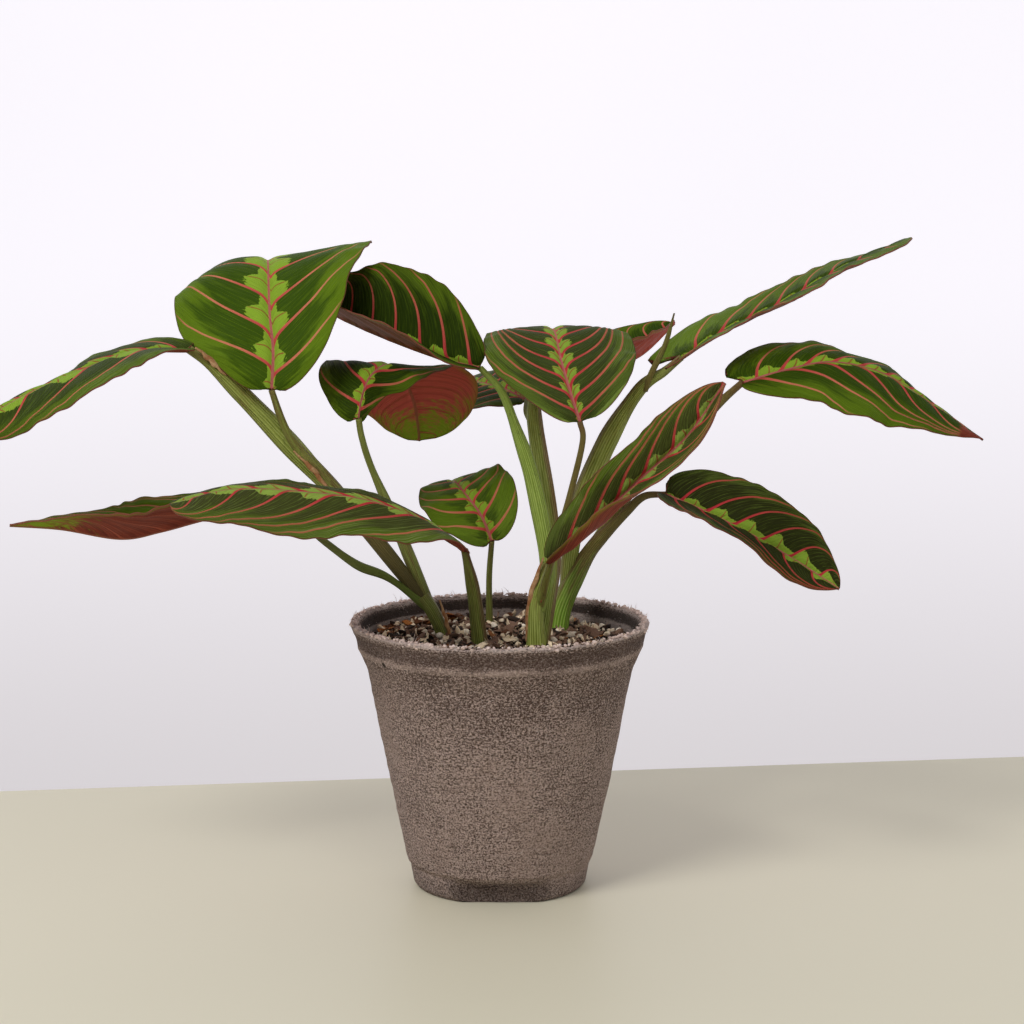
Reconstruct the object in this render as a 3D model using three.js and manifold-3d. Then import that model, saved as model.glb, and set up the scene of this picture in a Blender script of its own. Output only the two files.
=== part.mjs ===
// Potted prayer plant (maranta) in a moulded-fibre nursery pot.
// Millimetres, +Z up, origin at the centre of the pot's underside.
// A leaf is set out the way it grows: a midrib curve, the direction its upper side faces,
// and two halves that are folded and curled about the midrib.
import * as THREE from "three";
import { mergeVertices } from "three/addons/utils/BufferGeometryUtils.js";
import Module from "manifold-3d";

const wasm = await Module();
wasm.setup();

// Driving sizes
const RIM_RADIUS = 53.4;
const POT_HEIGHT = 96.8;
const FOOT_RADIUS = 31.3;
const FOOT_HEIGHT = 9.6;
const WALL = 3;
const POT_SIDES = 40;
const FOOT_PANEL_FROM_CENTRE = 27.2;
const FOOT_PANEL_TOP = FOOT_HEIGHT - 1.6;
const FOOT_PANEL_CUT = 10;
const FOOT_INSIDE_RADIUS = 24.8;
const SOIL_LEVEL = 88;
const SOIL_CROWN = 0.6;
const SOIL_RELIEF = 0.9;
const SOIL_CHIPS = 26;
const CHIP_LEAST = [2, 1.4, 1.3];
const CHIP_SPREAD = [2.4, 1.2, 0.7];
const CHIP_TILT = 0.5;
const CHIP_EDGE_MARGIN = 5;
const CLEARANCE = 0.3;
const BLADE_THICKNESS = 0.8;
const BLADE_ROWS = 14;
const BLADE_COLUMNS = 3;
const STEM_SIDES = 8;
const STEM_STEP = 8;
const STEM_ROOT_LEVEL = 72;
const SEED = 7;

const LEAF_DEFAULTS = { wave: [0.5, 3], tip: [2.3, 0.7] };
const HALF_DEFAULTS = { round: 2.1, lobe: 2.5 };
const WIDEST_AT = 0.42;
const LOBE_REACH = 0.16;
const LOBE_FULL_AT = 0.75;
const LOBE_EASE = 0.3;
const WAVE_OFFSET_RIGHT = 0.31;
const LEAST_HALF_WIDTH = 0.5;

// Seen from the front: +X is right, +Y is away from the viewer.
// half: half-widths, fold: angle from the midrib, curl: further turn out to the margin (degrees),
// each at even stations from the leaf's base to its tip. round: fullness at the base,
// lobe: how far the margin reaches back past the base, wave: height and number of the ripples.
const LEAVES = {
  leaf_far_left: {
    rib: [[-109, -5, 194], [-128, -12, 194], [-146, -20, 188], [-166, -28, 179], [-183, -34, 168]],
    face: [[0, 0.25, 1], [0, 0.05, 1], [0, -0.45, 1]],
    left: { half: [18, 23, 24], fold: [-8, -12, -15], curl: [-5, -5, -10], round: 2.6 },
    right: { half: [22], fold: [34, 5, -15, -30], curl: [-5, -10, -20], lobe: 6 },
    wave: [0.8, 3],
  },
  leaf_arched_top: {
    rib: [[-80, -8, 180], [-80, 0, 193], [-82, 10, 206], [-84, 28, 221], [-86, 48, 223],
      [-88, 66, 218], [-90, 82, 209]],
    face: [[0, -1, 0.7], [0, -0.9, 1], [0, 0, 1], [0, 0.3, 1]],
    left: { half: [31, 36, 38, 31], fold: [12, 12, 12, 0], curl: [-10, -45, -75, -50] },
    right: { half: [22, 29, 42, 36], fold: [5, 10, 8, 0], curl: [0] },
    wave: [1, 3],
  },
  leaf_back_left: {
    rib: [[-7, 12, 186], [-17, 15, 188], [-36, 22, 194], [-55, 34, 201], [-70, 48, 208]],
    face: [[0, -0.5, 0.86]],
    left: { half: [24], fold: [30, 50, 52, 40], curl: [0] },
    right: { half: [24, 27, 26], fold: [50, 55, 50], curl: [0] },
  },
  leaf_domed: {
    rib: [[-50, 0, 169], [-49, 4, 176], [-46.5, 10, 183], [-41, 19, 187], [-36, 30, 183], [-32, 38, 172],
      [-30.5, 42, 162], [-30, 43, 156]],
    face: [[-0.2, -1, 0.6], [-0.1, -0.7, 1], [0, 0.2, 1], [0, 1, 0.3], [0, 1, 0.3]],
    left: { half: [18, 24, 24, 19], fold: [-4, -4, 6, 0], curl: [-10, -5, -10] },
    right: { half: [8, 10, 16, 21, 28, 28], fold: [-65, -50, -10, 5, 8, 0], curl: [0, -10, -10] },
    tip: [3, 0.5],
  },
  leaf_centre: {
    rib: [[28, -18, 170], [25, -8, 179], [22, 6, 189], [20, 24, 198], [19, 42, 198], [19, 60, 194]],
    face: [[0, -1, 0.8], [0, -0.8, 1], [0, 0, 1]],
    left: { half: [18, 27, 29], fold: [10, 5, -3], curl: [-10, -15, -10], lobe: 1 },
    right: { half: [25, 28, 29], fold: [10, 5, -3], curl: [-10, -20, -20], lobe: 1 },
  },
  leaf_back_centre: {
    rib: [[22, 34, 179], [37, 38, 183], [52, 48, 188], [65, 58, 199]],
    face: [[0, -0.17, 1]],
    left: { half: [20], fold: [12], curl: [5] },
    right: { half: [20], fold: [38], curl: [10] },
  },
  leaf_high_right: {
    rib: [[65, 10, 190], [79, 12, 199], [100, 16, 209], [124, 22, 222], [148, 28, 232]],
    face: [[0, 0, 1]],
    left: { half: [17, 18, 17], fold: [18, 4, -14], curl: [0, 5, 0], round: 6, lobe: 13 },
    right: { half: [20], fold: [-2], curl: [20, 20, 10], lobe: 15 },
    tip: [6, 0.55],
  },
  leaf_right: {
    rib: [[86, 0, 182], [101, -4, 187], [117, -6, 190], [135, -6, 186], [153, -4, 175], [172, 0, 162]],
    face: [[0, -0.5, 1], [0, -0.6, 1], [0, -0.5, 1]],
    left: { half: [20, 16, 11], fold: [20, -16, -38], curl: [-20], round: 3.5, lobe: 10 },
    right: { half: [20, 25, 19], fold: [-5], curl: [-10], round: 1.6 },
    wave: [0.8, 4],
    tip: [2, 0.9],
  },
  leaf_front_slant: {
    rib: [[18, -30, 123], [31, -38, 136], [47, -46, 153], [63, -52, 169], [75, -54, 187]],
    face: [[-0.4, -1, 0.4], [-0.4, -1, 0.4], [-0.3, -1, 0.5]],
    left: { half: [12, 12, 17], fold: [30, 40, 25], curl: [0] },
    right: { half: [14, 16, 15, 14], fold: [20, 20, 30, 35], curl: [120, 110, 30, 10] },
    wave: [0.8, 3],
  },
  leaf_low_right: {
    rib: [[60, 14, 140], [72, 4, 136], [87, -8, 130], [103, -20, 122], [118, -28, 113]],
    face: [[0.1, -0.7, 1]],
    left: { half: [17, 18, 18, 17], fold: [25, 22, 12], curl: [0], round: 3, lobe: 5 },
    right: { half: [17, 20, 17, 18], fold: [30, 35, 10], curl: [0, 0, -20] },
  },
  leaf_front_left: {
    rib: [[-12, -26, 126], [-24, -34, 137], [-44, -42, 146], [-67, -48, 150], [-90, -50, 151],
      [-111, -50, 146]],
    face: [[0, -0.1, 1], [0, -0.35, 1], [0, -0.35, 1]],
    left: { half: [14, 19, 21, 20], fold: [0, -13, -13, 0], curl: [-10, -15, -10] },
    right: { half: [20], fold: [0, -16, -22], curl: [-5, -5, -10] },
    wave: [1, 3],
    tip: [4, 0.5],
  },
  leaf_low_left: {
    rib: [[-69, 2, 130], [-84, -2, 135], [-101, -6, 135], [-119, -11, 131], [-133, -15, 129],
      [-153, -19, 133], [-170, -24, 135]],
    face: [[0, 0, 1]],
    left: { half: [10, 15, 20, 15], fold: [40, 38, 36, 30], curl: [0] },
    right: { half: [12, 16, 21, 18], fold: [10, 20, 34, 24, 5], curl: [0] },
    tip: [2, 1],
  },
  leaf_small: {
    rib: [[-3, 26, 121], [-7, 30, 130], [-13, 38, 137], [-17, 50, 140], [-20, 64, 138]],
    face: [[0, -0.9, 0.8], [0, -0.8, 1], [0, -0.2, 1]],
    left: { half: [17], fold: [5, 0, 0], curl: [-10, -20, -20] },
    right: { half: [17, 18, 17], fold: [20, 12, 5], curl: [0] },
    wave: [0.8, 3],
  },
  leaf_hidden: {
    rib: [[10, 44, 171], [2, 58, 174], [-7, 74, 175], [-15, 92, 174]],
    face: [[0, -0.6, 1], [0, -0.6, 1], [0, -0.4, 1]],
    left: { half: [18], fold: [5, 0, 0], curl: [-10, -20, -20] },
    right: { half: [18], fold: [10], curl: [0] },
  },
};

// Stalks and petioles: path points, and radii at even stations along the path.
// The first one of each shoot goes down into the soil.
const SHOOTS = {
  shoot_left: [
    { path: [[-17, 6, STEM_ROOT_LEVEL], [-20, 6, 88], [-24, 6, 98], [-28, 6, 104]], radius: [2, 2.4, 2.6] },
    { path: [[-26, 6, 100], [-40, 4, 111], [-51, 2, 116], [-62, 2, 124], [-69, 2, 130]],
      radius: [1.8, 1.2, 1.7, 1.3, 1.1] },
    { path: [[-26, 7, 100], [-41, 6, 120], [-60, 4, 144], [-74, 0, 161]], radius: [2.2, 2.8, 2.9, 2.2] },
    { path: [[-59, 4, 142], [-84, 0, 170], [-100, -3, 187], [-109, -5, 194]], radius: [2.8, 3.9, 3.2, 1.5] },
    { path: [[-60, 3, 144], [-71, -2, 158], [-76, -5, 167], [-80, -8, 180]], radius: [1.8, 1.8, 1.4, 1.1] },
    { path: [[-25, 7, 99], [-38, 10, 131], [-46, 6, 151], [-49, 2, 162], [-50, 0, 169]],
      radius: [2.2, 2.3, 1.9, 1.2, 1.1] },
  ],
  shoot_front: [
    { path: [[-6, -7, STEM_ROOT_LEVEL], [-7, -10, 90], [-9, -16, 109], [-12, -26, 126]],
      radius: [2.8, 2.8, 2.4, 1.3] },
  ],
  shoot_small: [
    { path: [[-4, 32, STEM_ROOT_LEVEL], [-4, 32, 91], [-4, 30, 107], [-3, 26, 121]], radius: [1.3, 1.3, 1.1, 1] },
  ],
  shoot_centre: [
    { path: [[13, -12, STEM_ROOT_LEVEL], [13, -14, 90], [13, -14, 106], [17, -14, 119]],
      radius: [3.2, 3.5, 2.9, 2.2] },
    { path: [[14, -14, 102], [17, -10, 118], [12, 0, 146], [5.5, 5, 166], [0.5, 9, 178], [-7, 12, 186]],
      radius: [2, 2.7, 3, 2.6, 1.6, 1.1] },
    { path: [[14.5, -11, 84], [17.5, -5, 104], [19, 3, 116], [18, 10, 131], [14.5, 20, 153], [12.5, 28, 170],
      [15, 32, 176], [22, 34, 179]], radius: [2.2, 2.6, 3.2, 3.4, 2.9, 1.3] },
    { path: [[13, 28, 163], [10, 36, 167], [10, 44, 171]], radius: [1.6, 1.2, 1.1] },
    { path: [[14, -14, 104], [16, -21, 114], [18, -30, 123]], radius: [1.8, 1.5, 1.2] },
    { path: [[16, -14, 112], [20, -14, 126], [25, -16, 145], [29, -18, 163], [28, -18, 170]],
      radius: [1.3, 1.2, 1.1, 1] },
  ],
  shoot_right: [
    { path: [[20, 20, STEM_ROOT_LEVEL], [21, 20, 88], [23.5, 21, 100], [33, 22, 118], [45, 18, 132],
      [52, 15, 139], [60, 14, 140]], radius: [3.6, 4, 3.7, 2.6, 1.7, 1.1] },
    { path: [[23.5, 22, 98], [28, 23, 129], [38, 18, 157], [50, 12, 178], [59, 10, 185], [65, 10, 190]],
      radius: [2.2, 3.1, 4, 3.7, 2.4, 1.2] },
    { path: [[26, 22, 108], [44, 21, 135], [58, 16, 151], [71, 8, 166], [79, 4, 175], [86, 0, 182]],
      radius: [1.8, 1.8, 1.7, 1.9, 1.2] },
  ],
};
const ROLLED_LEAF = { path: [[52, 10.5, 178], [54, 8.5, 184], [59, 7, 195], [62, 6, 206]], radius: [1.1, 1.1, 0.9, 0.3] };

const FINISH = {
  pot: { color: 0x877a6f, roughness: 0.97, metalness: 0 },
  soil: { color: 0x4a382b, roughness: 1, metalness: 0 },
  stem: { color: 0x6f8443, roughness: 0.5, metalness: 0 },
  leaf: { color: 0x3c6a2a, roughness: 0.45, metalness: 0 },
};

const radians = THREE.MathUtils.degToRad;

function seededRandom(seed) {
  let state = seed;
  return () => {
    state = (state * 16807) % 2147483647;
    return state / 2147483647;
  };
}

// Blends smoothly between values given at even stations of 0 to 1.
function along(stations, u) {
  if (stations.length === 1) return stations[0];
  const place = u * (stations.length - 1);
  const index = Math.min(Math.floor(place), stations.length - 2);
  const part = place - index;
  const blend = part * part * (3 - 2 * part);
  const mix = (a, b) => a * (1 - blend) + b * blend;
  const [from, to] = [stations[index], stations[index + 1]];
  return Array.isArray(from) ? from.map((value, i) => mix(value, to[i])) : mix(from, to);
}

function curveThrough(points) {
  return new THREE.CatmullRomCurve3(points.map((p) => new THREE.Vector3(...p)), false, "catmullrom", 0.5);
}

// Half-width of a blade along its midrib, as a share of the widest.
function outline(u, tip, round) {
  if (u < WIDEST_AT) {
    return Math.pow(1 - Math.pow(1 - u / WIDEST_AT, round), 1 / round);
  }
  const x = (u - WIDEST_AT) / (1 - WIDEST_AT);
  return Math.pow(1 - Math.pow(x, tip[0]), tip[1]);
}

// Middle surface of a blade: rows from base to tip, columns from the left margin to the right one.
function bladeGrid(leaf) {
  const { rib, face, wave, tip } = { ...LEAF_DEFAULTS, ...leaf };
  const centres = curveThrough(rib).getSpacedPoints(BLADE_ROWS);
  const rows = [];
  for (let row = 0; row <= BLADE_ROWS; row += 1) {
    const u = row / BLADE_ROWS;
    const ahead = centres[Math.min(row + 1, BLADE_ROWS)];
    const behind = centres[Math.max(row - 1, 0)];
    const tangent = ahead.clone().sub(behind).normalize();
    const normal = new THREE.Vector3(...along(face, u));
    normal.addScaledVector(tangent, -normal.dot(tangent)).normalize();
    const side = tangent.clone().cross(normal);
    const envelope = Math.sqrt(Math.max(Math.sin(Math.PI * u), 0));
    const points = [];
    for (let column = -BLADE_COLUMNS; column <= BLADE_COLUMNS; column += 1) {
      const sign = column < 0 ? -1 : 1;
      const half = { ...HALF_DEFAULTS, ...(column < 0 ? leaf.left : leaf.right) };
      const t = Math.abs(column) / BLADE_COLUMNS;
      const share = outline(u, tip, half.round);
      const width = Math.max(along(half.half, u) * share, LEAST_HALF_WIDTH);
      const fold = radians(along(half.fold, u));
      const curl = radians(along(half.curl, u)) || 1e-4;
      const out = (width * (Math.sin(fold + curl * t) - Math.sin(fold))) / curl;
      const up = (width * (Math.cos(fold) - Math.cos(fold + curl * t))) / curl;
      const phase = sign > 0 ? WAVE_OFFSET_RIGHT : 0;
      const ripple = wave[0] * t * t * Math.sin(2 * Math.PI * (wave[1] * u + phase)) * envelope;
      const early = Math.max(1 - u / LOBE_REACH, 0);
      const fullness = Math.sin((Math.PI / 2) * Math.min(t / LOBE_FULL_AT, 1)) * Math.pow(share, LOBE_EASE);
      const back = half.lobe * early * early * fullness;
      points.push(centres[row].clone().addScaledVector(side, sign * out)
        .addScaledVector(normal, up + ripple).addScaledVector(tangent, -back));
    }
    rows.push(points);
  }
  return rows;
}

function indexedGeometry(points, faces) {
  const geometry = new THREE.BufferGeometry().setFromPoints(points);
  geometry.setIndex(faces);
  return geometry;
}

// A blade with its thickness; both faces are split along the same diagonals.
function bladeGeometry(leaf) {
  const grid = bladeGrid(leaf);
  const [last, wide] = [grid.length - 1, grid[0].length];
  const points = [];
  for (const lift of [BLADE_THICKNESS / 2, -BLADE_THICKNESS / 2]) {
    grid.forEach((row, i) => row.forEach((point, j) => {
      const lengthwise = grid[Math.min(i + 1, last)][j].clone().sub(grid[Math.max(i - 1, 0)][j]);
      const across = row[Math.min(j + 1, wide - 1)].clone().sub(row[Math.max(j - 1, 0)]);
      const normal = lengthwise.cross(across).normalize();
      points.push(point.clone().addScaledVector(normal, lift));
    }));
  }
  const layer = grid.length * wide;
  const faces = [];
  for (let i = 0; i < last; i += 1) {
    for (let j = 0; j < wide - 1; j += 1) {
      const [a, b, c, d] = [i * wide + j, (i + 1) * wide + j, (i + 1) * wide + j + 1, i * wide + j + 1];
      faces.push(a, b, c, a, c, d);
      faces.push(layer + a, layer + c, layer + b, layer + a, layer + d, layer + c);
    }
  }
  const wallOf = (a, b) => faces.push(a, layer + a, layer + b, a, layer + b, b);
  for (let i = 0; i < last; i += 1) {
    wallOf(i * wide, (i + 1) * wide);
    wallOf((i + 2) * wide - 1, (i + 1) * wide - 1);
  }
  for (let j = 0; j < wide - 1; j += 1) {
    wallOf(j + 1, j);
    wallOf(last * wide + j, last * wide + j + 1);
  }
  return indexedGeometry(points, faces);
}

// A closed round stalk along a path, its radius blended between stations.
function stalkGeometry({ path, radius }, grow = 0) {
  const curve = curveThrough(path);
  const steps = Math.max(3, Math.round(curve.getLength() / STEM_STEP));
  const frames = curve.computeFrenetFrames(steps, false);
  const centres = curve.getSpacedPoints(steps);
  const points = [];
  const faces = [];
  centres.forEach((centre, i) => {
    const r = along(radius, i / steps) + grow;
    for (let k = 0; k < STEM_SIDES; k += 1) {
      const angle = (2 * Math.PI * k) / STEM_SIDES;
      points.push(centre.clone().addScaledVector(frames.normals[i], r * Math.cos(angle))
        .addScaledVector(frames.binormals[i], r * Math.sin(angle)));
    }
  });
  for (let i = 0; i < steps; i += 1) {
    for (let k = 0; k < STEM_SIDES; k += 1) {
      const next = (k + 1) % STEM_SIDES;
      const [a, b] = [i * STEM_SIDES + k, i * STEM_SIDES + next];
      faces.push(a, b, b + STEM_SIDES, a, b + STEM_SIDES, a + STEM_SIDES);
    }
  }
  const ends = [points.length, points.length + 1];
  points.push(centres[0].clone().addScaledVector(frames.tangents[0], -grow));
  points.push(centres[steps].clone().addScaledVector(frames.tangents[steps], grow));
  for (let k = 0; k < STEM_SIDES; k += 1) {
    const next = (k + 1) % STEM_SIDES;
    faces.push(ends[0], next, k);
    faces.push(ends[1], steps * STEM_SIDES + k, steps * STEM_SIDES + next);
  }
  return indexedGeometry(points, faces);
}

// Closed geometry to a solid, with its faces turned outwards.
function toSolid(geometry) {
  geometry.deleteAttribute("normal");
  geometry.deleteAttribute("uv");
  const merged = mergeVertices(geometry, 1e-4);
  const index = Array.from(merged.index.array);
  const position = merged.attributes.position;
  const corners = [0, 1, 2].map(() => new THREE.Vector3());
  const kept = [];
  let volume = 0;
  for (let i = 0; i < index.length; i += 3) {
    const triple = index.slice(i, i + 3);
    if (new Set(triple).size < 3) continue;
    triple.forEach((vertex, k) => corners[k].fromBufferAttribute(position, vertex));
    volume += corners[0].dot(corners[1].clone().cross(corners[2]));
    kept.push(...triple);
  }
  if (volume < 0) kept.reverse();
  return new wasm.Manifold(new wasm.Mesh({
    numProp: 3,
    vertProperties: new Float32Array(position.array),
    triVerts: new Uint32Array(kept),
  }));
}

const joined = (solids) => solids.reduce((sum, solid) => sum.add(solid));

function largestPiece(solid) {
  return solid.decompose().sort((a, b) => b.volume() - a.volume())[0];
}

function revolve(profile, sides) {
  const geometry = new THREE.LatheGeometry(profile.map(([r, z]) => new THREE.Vector2(r, z)), sides);
  return geometry.rotateX(Math.PI / 2);
}

// Pot: tapered wall, flared rim band, low foot with a flat pressed panel front and back.
const POT_OUTSIDE = [
  [0, 0], [FOOT_RADIUS - 1, 0], [FOOT_RADIUS, 1.2], [FOOT_RADIUS + 0.9, FOOT_HEIGHT - 1],
  [FOOT_RADIUS + 2.2, FOOT_HEIGHT], [39.6, 38], [47.8, 80], [50.3, 85.8], [51.4, 89],
  [RIM_RADIUS, 95.6], [RIM_RADIUS - 0.8, POT_HEIGHT],
];
const POT_INSIDE = [
  [51.4, POT_HEIGHT], [50.6, 95.8], [48.4, 86], [45.2, 79.5], [36.6, 38],
  [FOOT_RADIUS - 0.6, FOOT_HEIGHT + 2.4], [FOOT_INSIDE_RADIUS, FOOT_HEIGHT], [FOOT_INSIDE_RADIUS, WALL], [0, WALL],
];

function potSolid() {
  let pot = toSolid(revolve([...POT_OUTSIDE, ...POT_INSIDE], POT_SIDES));
  for (const facing of [-1, 1]) {
    const panel = new THREE.BoxGeometry(2 * FOOT_RADIUS, FOOT_PANEL_CUT, 2 * FOOT_PANEL_TOP);
    panel.translate(0, facing * (FOOT_PANEL_FROM_CENTRE + FOOT_PANEL_CUT / 2), 0);
    pot = pot.subtract(toSolid(panel));
  }
  return pot;
}

// Radius of the pot's inside at a height.
function insideRadius(z) {
  const profile = [...POT_INSIDE].reverse().slice(1);
  for (let i = 0; i < profile.length - 1; i += 1) {
    const [[r0, z0], [r1, z1]] = [profile[i], profile[i + 1]];
    if (z <= z1) return r0 + ((r1 - r0) * (z - z0)) / (z1 - z0);
  }
  return profile[profile.length - 1][0];
}

// Uneven ground: two sets of smooth waves, between about -1.6 and 1.6.
function soilBumps(x, y) {
  return Math.sin(0.7 * x + 1.3) * Math.sin(0.8 * y + 0.4) + 0.6 * Math.sin(1.9 * x - 1.1 * y);
}

function soilSolid(stalks) {
  const random = seededRandom(SEED);
  const side = POT_INSIDE.filter(([r, z]) => r > 0 && z < SOIL_LEVEL).reverse()
    .map(([r, z]) => [r - CLEARANCE, z + (z === WALL ? CLEARANCE : 0)]);
  const edge = insideRadius(SOIL_LEVEL) - CLEARANCE;
  const rings = [edge, 40, 30, 20, 10].map((r, i) => [r, SOIL_LEVEL + (i % 2 ? SOIL_CROWN : 0)]);
  const profile = [[0, WALL + CLEARANCE], ...side, ...rings, [0, SOIL_LEVEL + SOIL_CROWN]];
  const ground = revolve(profile, POT_SIDES / 2);
  const position = ground.attributes.position;
  for (let i = 0; i < position.count; i += 1) {
    const [x, y, z] = [position.getX(i), position.getY(i), position.getZ(i)];
    const r = Math.hypot(x, y);
    if (z < SOIL_LEVEL - 1 || r > edge - 1) continue;
    position.setZ(i, z + SOIL_RELIEF * soilBumps(x, y));
  }
  const chips = [];
  for (let i = 0; i < SOIL_CHIPS; i += 1) {
    const spread = Math.sqrt(random()) * (edge - CHIP_EDGE_MARGIN);
    const angle = 2 * Math.PI * random();
    const chip = new THREE.OctahedronGeometry(1);
    chip.scale(...CHIP_LEAST.map((least, axis) => least + CHIP_SPREAD[axis] * random()));
    chip.rotateZ(Math.PI * random());
    chip.rotateX(CHIP_TILT * (random() - 0.5));
    chip.translate(spread * Math.cos(angle), spread * Math.sin(angle), SOIL_LEVEL);
    chips.push(toSolid(chip));
  }
  return largestPiece(joined([toSolid(ground), ...chips]).subtract(stalks));
}

const solids = {};
const grownShoots = joined(Object.values(SHOOTS).flat().map((stalk) => toSolid(stalkGeometry(stalk, CLEARANCE))));
solids.pot = [potSolid(), "pot"];
solids.soil = [soilSolid(grownShoots), "soil"];
for (const [name, stalks] of Object.entries(SHOOTS)) {
  solids[name] = [joined(stalks.map((stalk) => toSolid(stalkGeometry(stalk)))), "stem"];
}
for (const [name, leaf] of Object.entries(LEAVES)) {
  solids[name] = [largestPiece(toSolid(bladeGeometry(leaf)).subtract(grownShoots)), "leaf"];
}
solids.leaf_rolled = [largestPiece(toSolid(stalkGeometry(ROLLED_LEAF)).subtract(grownShoots)), "leaf"];

const plant = new THREE.Group();
for (const [name, [solid, finish]] of Object.entries(solids)) {
  const { vertProperties, triVerts } = solid.getMesh();
  const geometry = new THREE.BufferGeometry();
  geometry.setAttribute("position", new THREE.BufferAttribute(new Float32Array(vertProperties), 3));
  geometry.setIndex(Array.from(triVerts));
  geometry.computeVertexNormals();
  const mesh = new THREE.Mesh(geometry, new THREE.MeshStandardMaterial(FINISH[finish]));
  mesh.name = name;
  plant.add(mesh);
}

export default plant;
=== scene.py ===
"""Potted prayer plant: the finished surfaces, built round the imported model."""

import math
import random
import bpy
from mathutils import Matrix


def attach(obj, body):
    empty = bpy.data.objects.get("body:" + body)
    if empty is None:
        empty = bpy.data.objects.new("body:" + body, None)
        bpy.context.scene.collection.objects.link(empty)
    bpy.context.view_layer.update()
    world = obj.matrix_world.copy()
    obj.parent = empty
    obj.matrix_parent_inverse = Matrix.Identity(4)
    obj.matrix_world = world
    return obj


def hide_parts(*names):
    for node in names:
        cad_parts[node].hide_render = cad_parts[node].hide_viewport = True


bl_info = {
    "name": "Potted prayer plant",
    "version": (1, 0, 0),
    "blender": (4, 5, 0),
    "location": "View3D > Sidebar > Prayer plant",
    "description": "Leaves, stalks, fibre pot and potting mix of a potted prayer plant",
    "category": "Add Mesh",
}

import bpy
import numpy as np

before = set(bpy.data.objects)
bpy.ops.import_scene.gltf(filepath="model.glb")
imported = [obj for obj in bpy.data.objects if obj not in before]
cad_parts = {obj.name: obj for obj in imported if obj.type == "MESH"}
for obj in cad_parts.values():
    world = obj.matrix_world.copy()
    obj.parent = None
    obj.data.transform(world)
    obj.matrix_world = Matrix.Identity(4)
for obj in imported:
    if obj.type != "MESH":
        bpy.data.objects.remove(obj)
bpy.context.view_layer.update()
BODY = "root"
MM = 0.001
TAU = 2 * math.pi

# How a blade is set out: the same rules and points as the solids, in millimetres.
LEAF_DEFAULTS = {"wave": (0.5, 3), "tip": (2.3, 0.7)}
HALF_DEFAULTS = {"round": 2.1, "lobe": 2.5}
WIDEST_AT = 0.42
LOBE_REACH = 0.16
LOBE_FULL_AT = 0.75
LOBE_EASE = 0.3
WAVE_OFFSET_RIGHT = 0.31
LEAST_HALF_WIDTH = 0.5
VEIN_CROWDING = 0.4
RIGHT_VEINS_LOWER = 0.25

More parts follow.
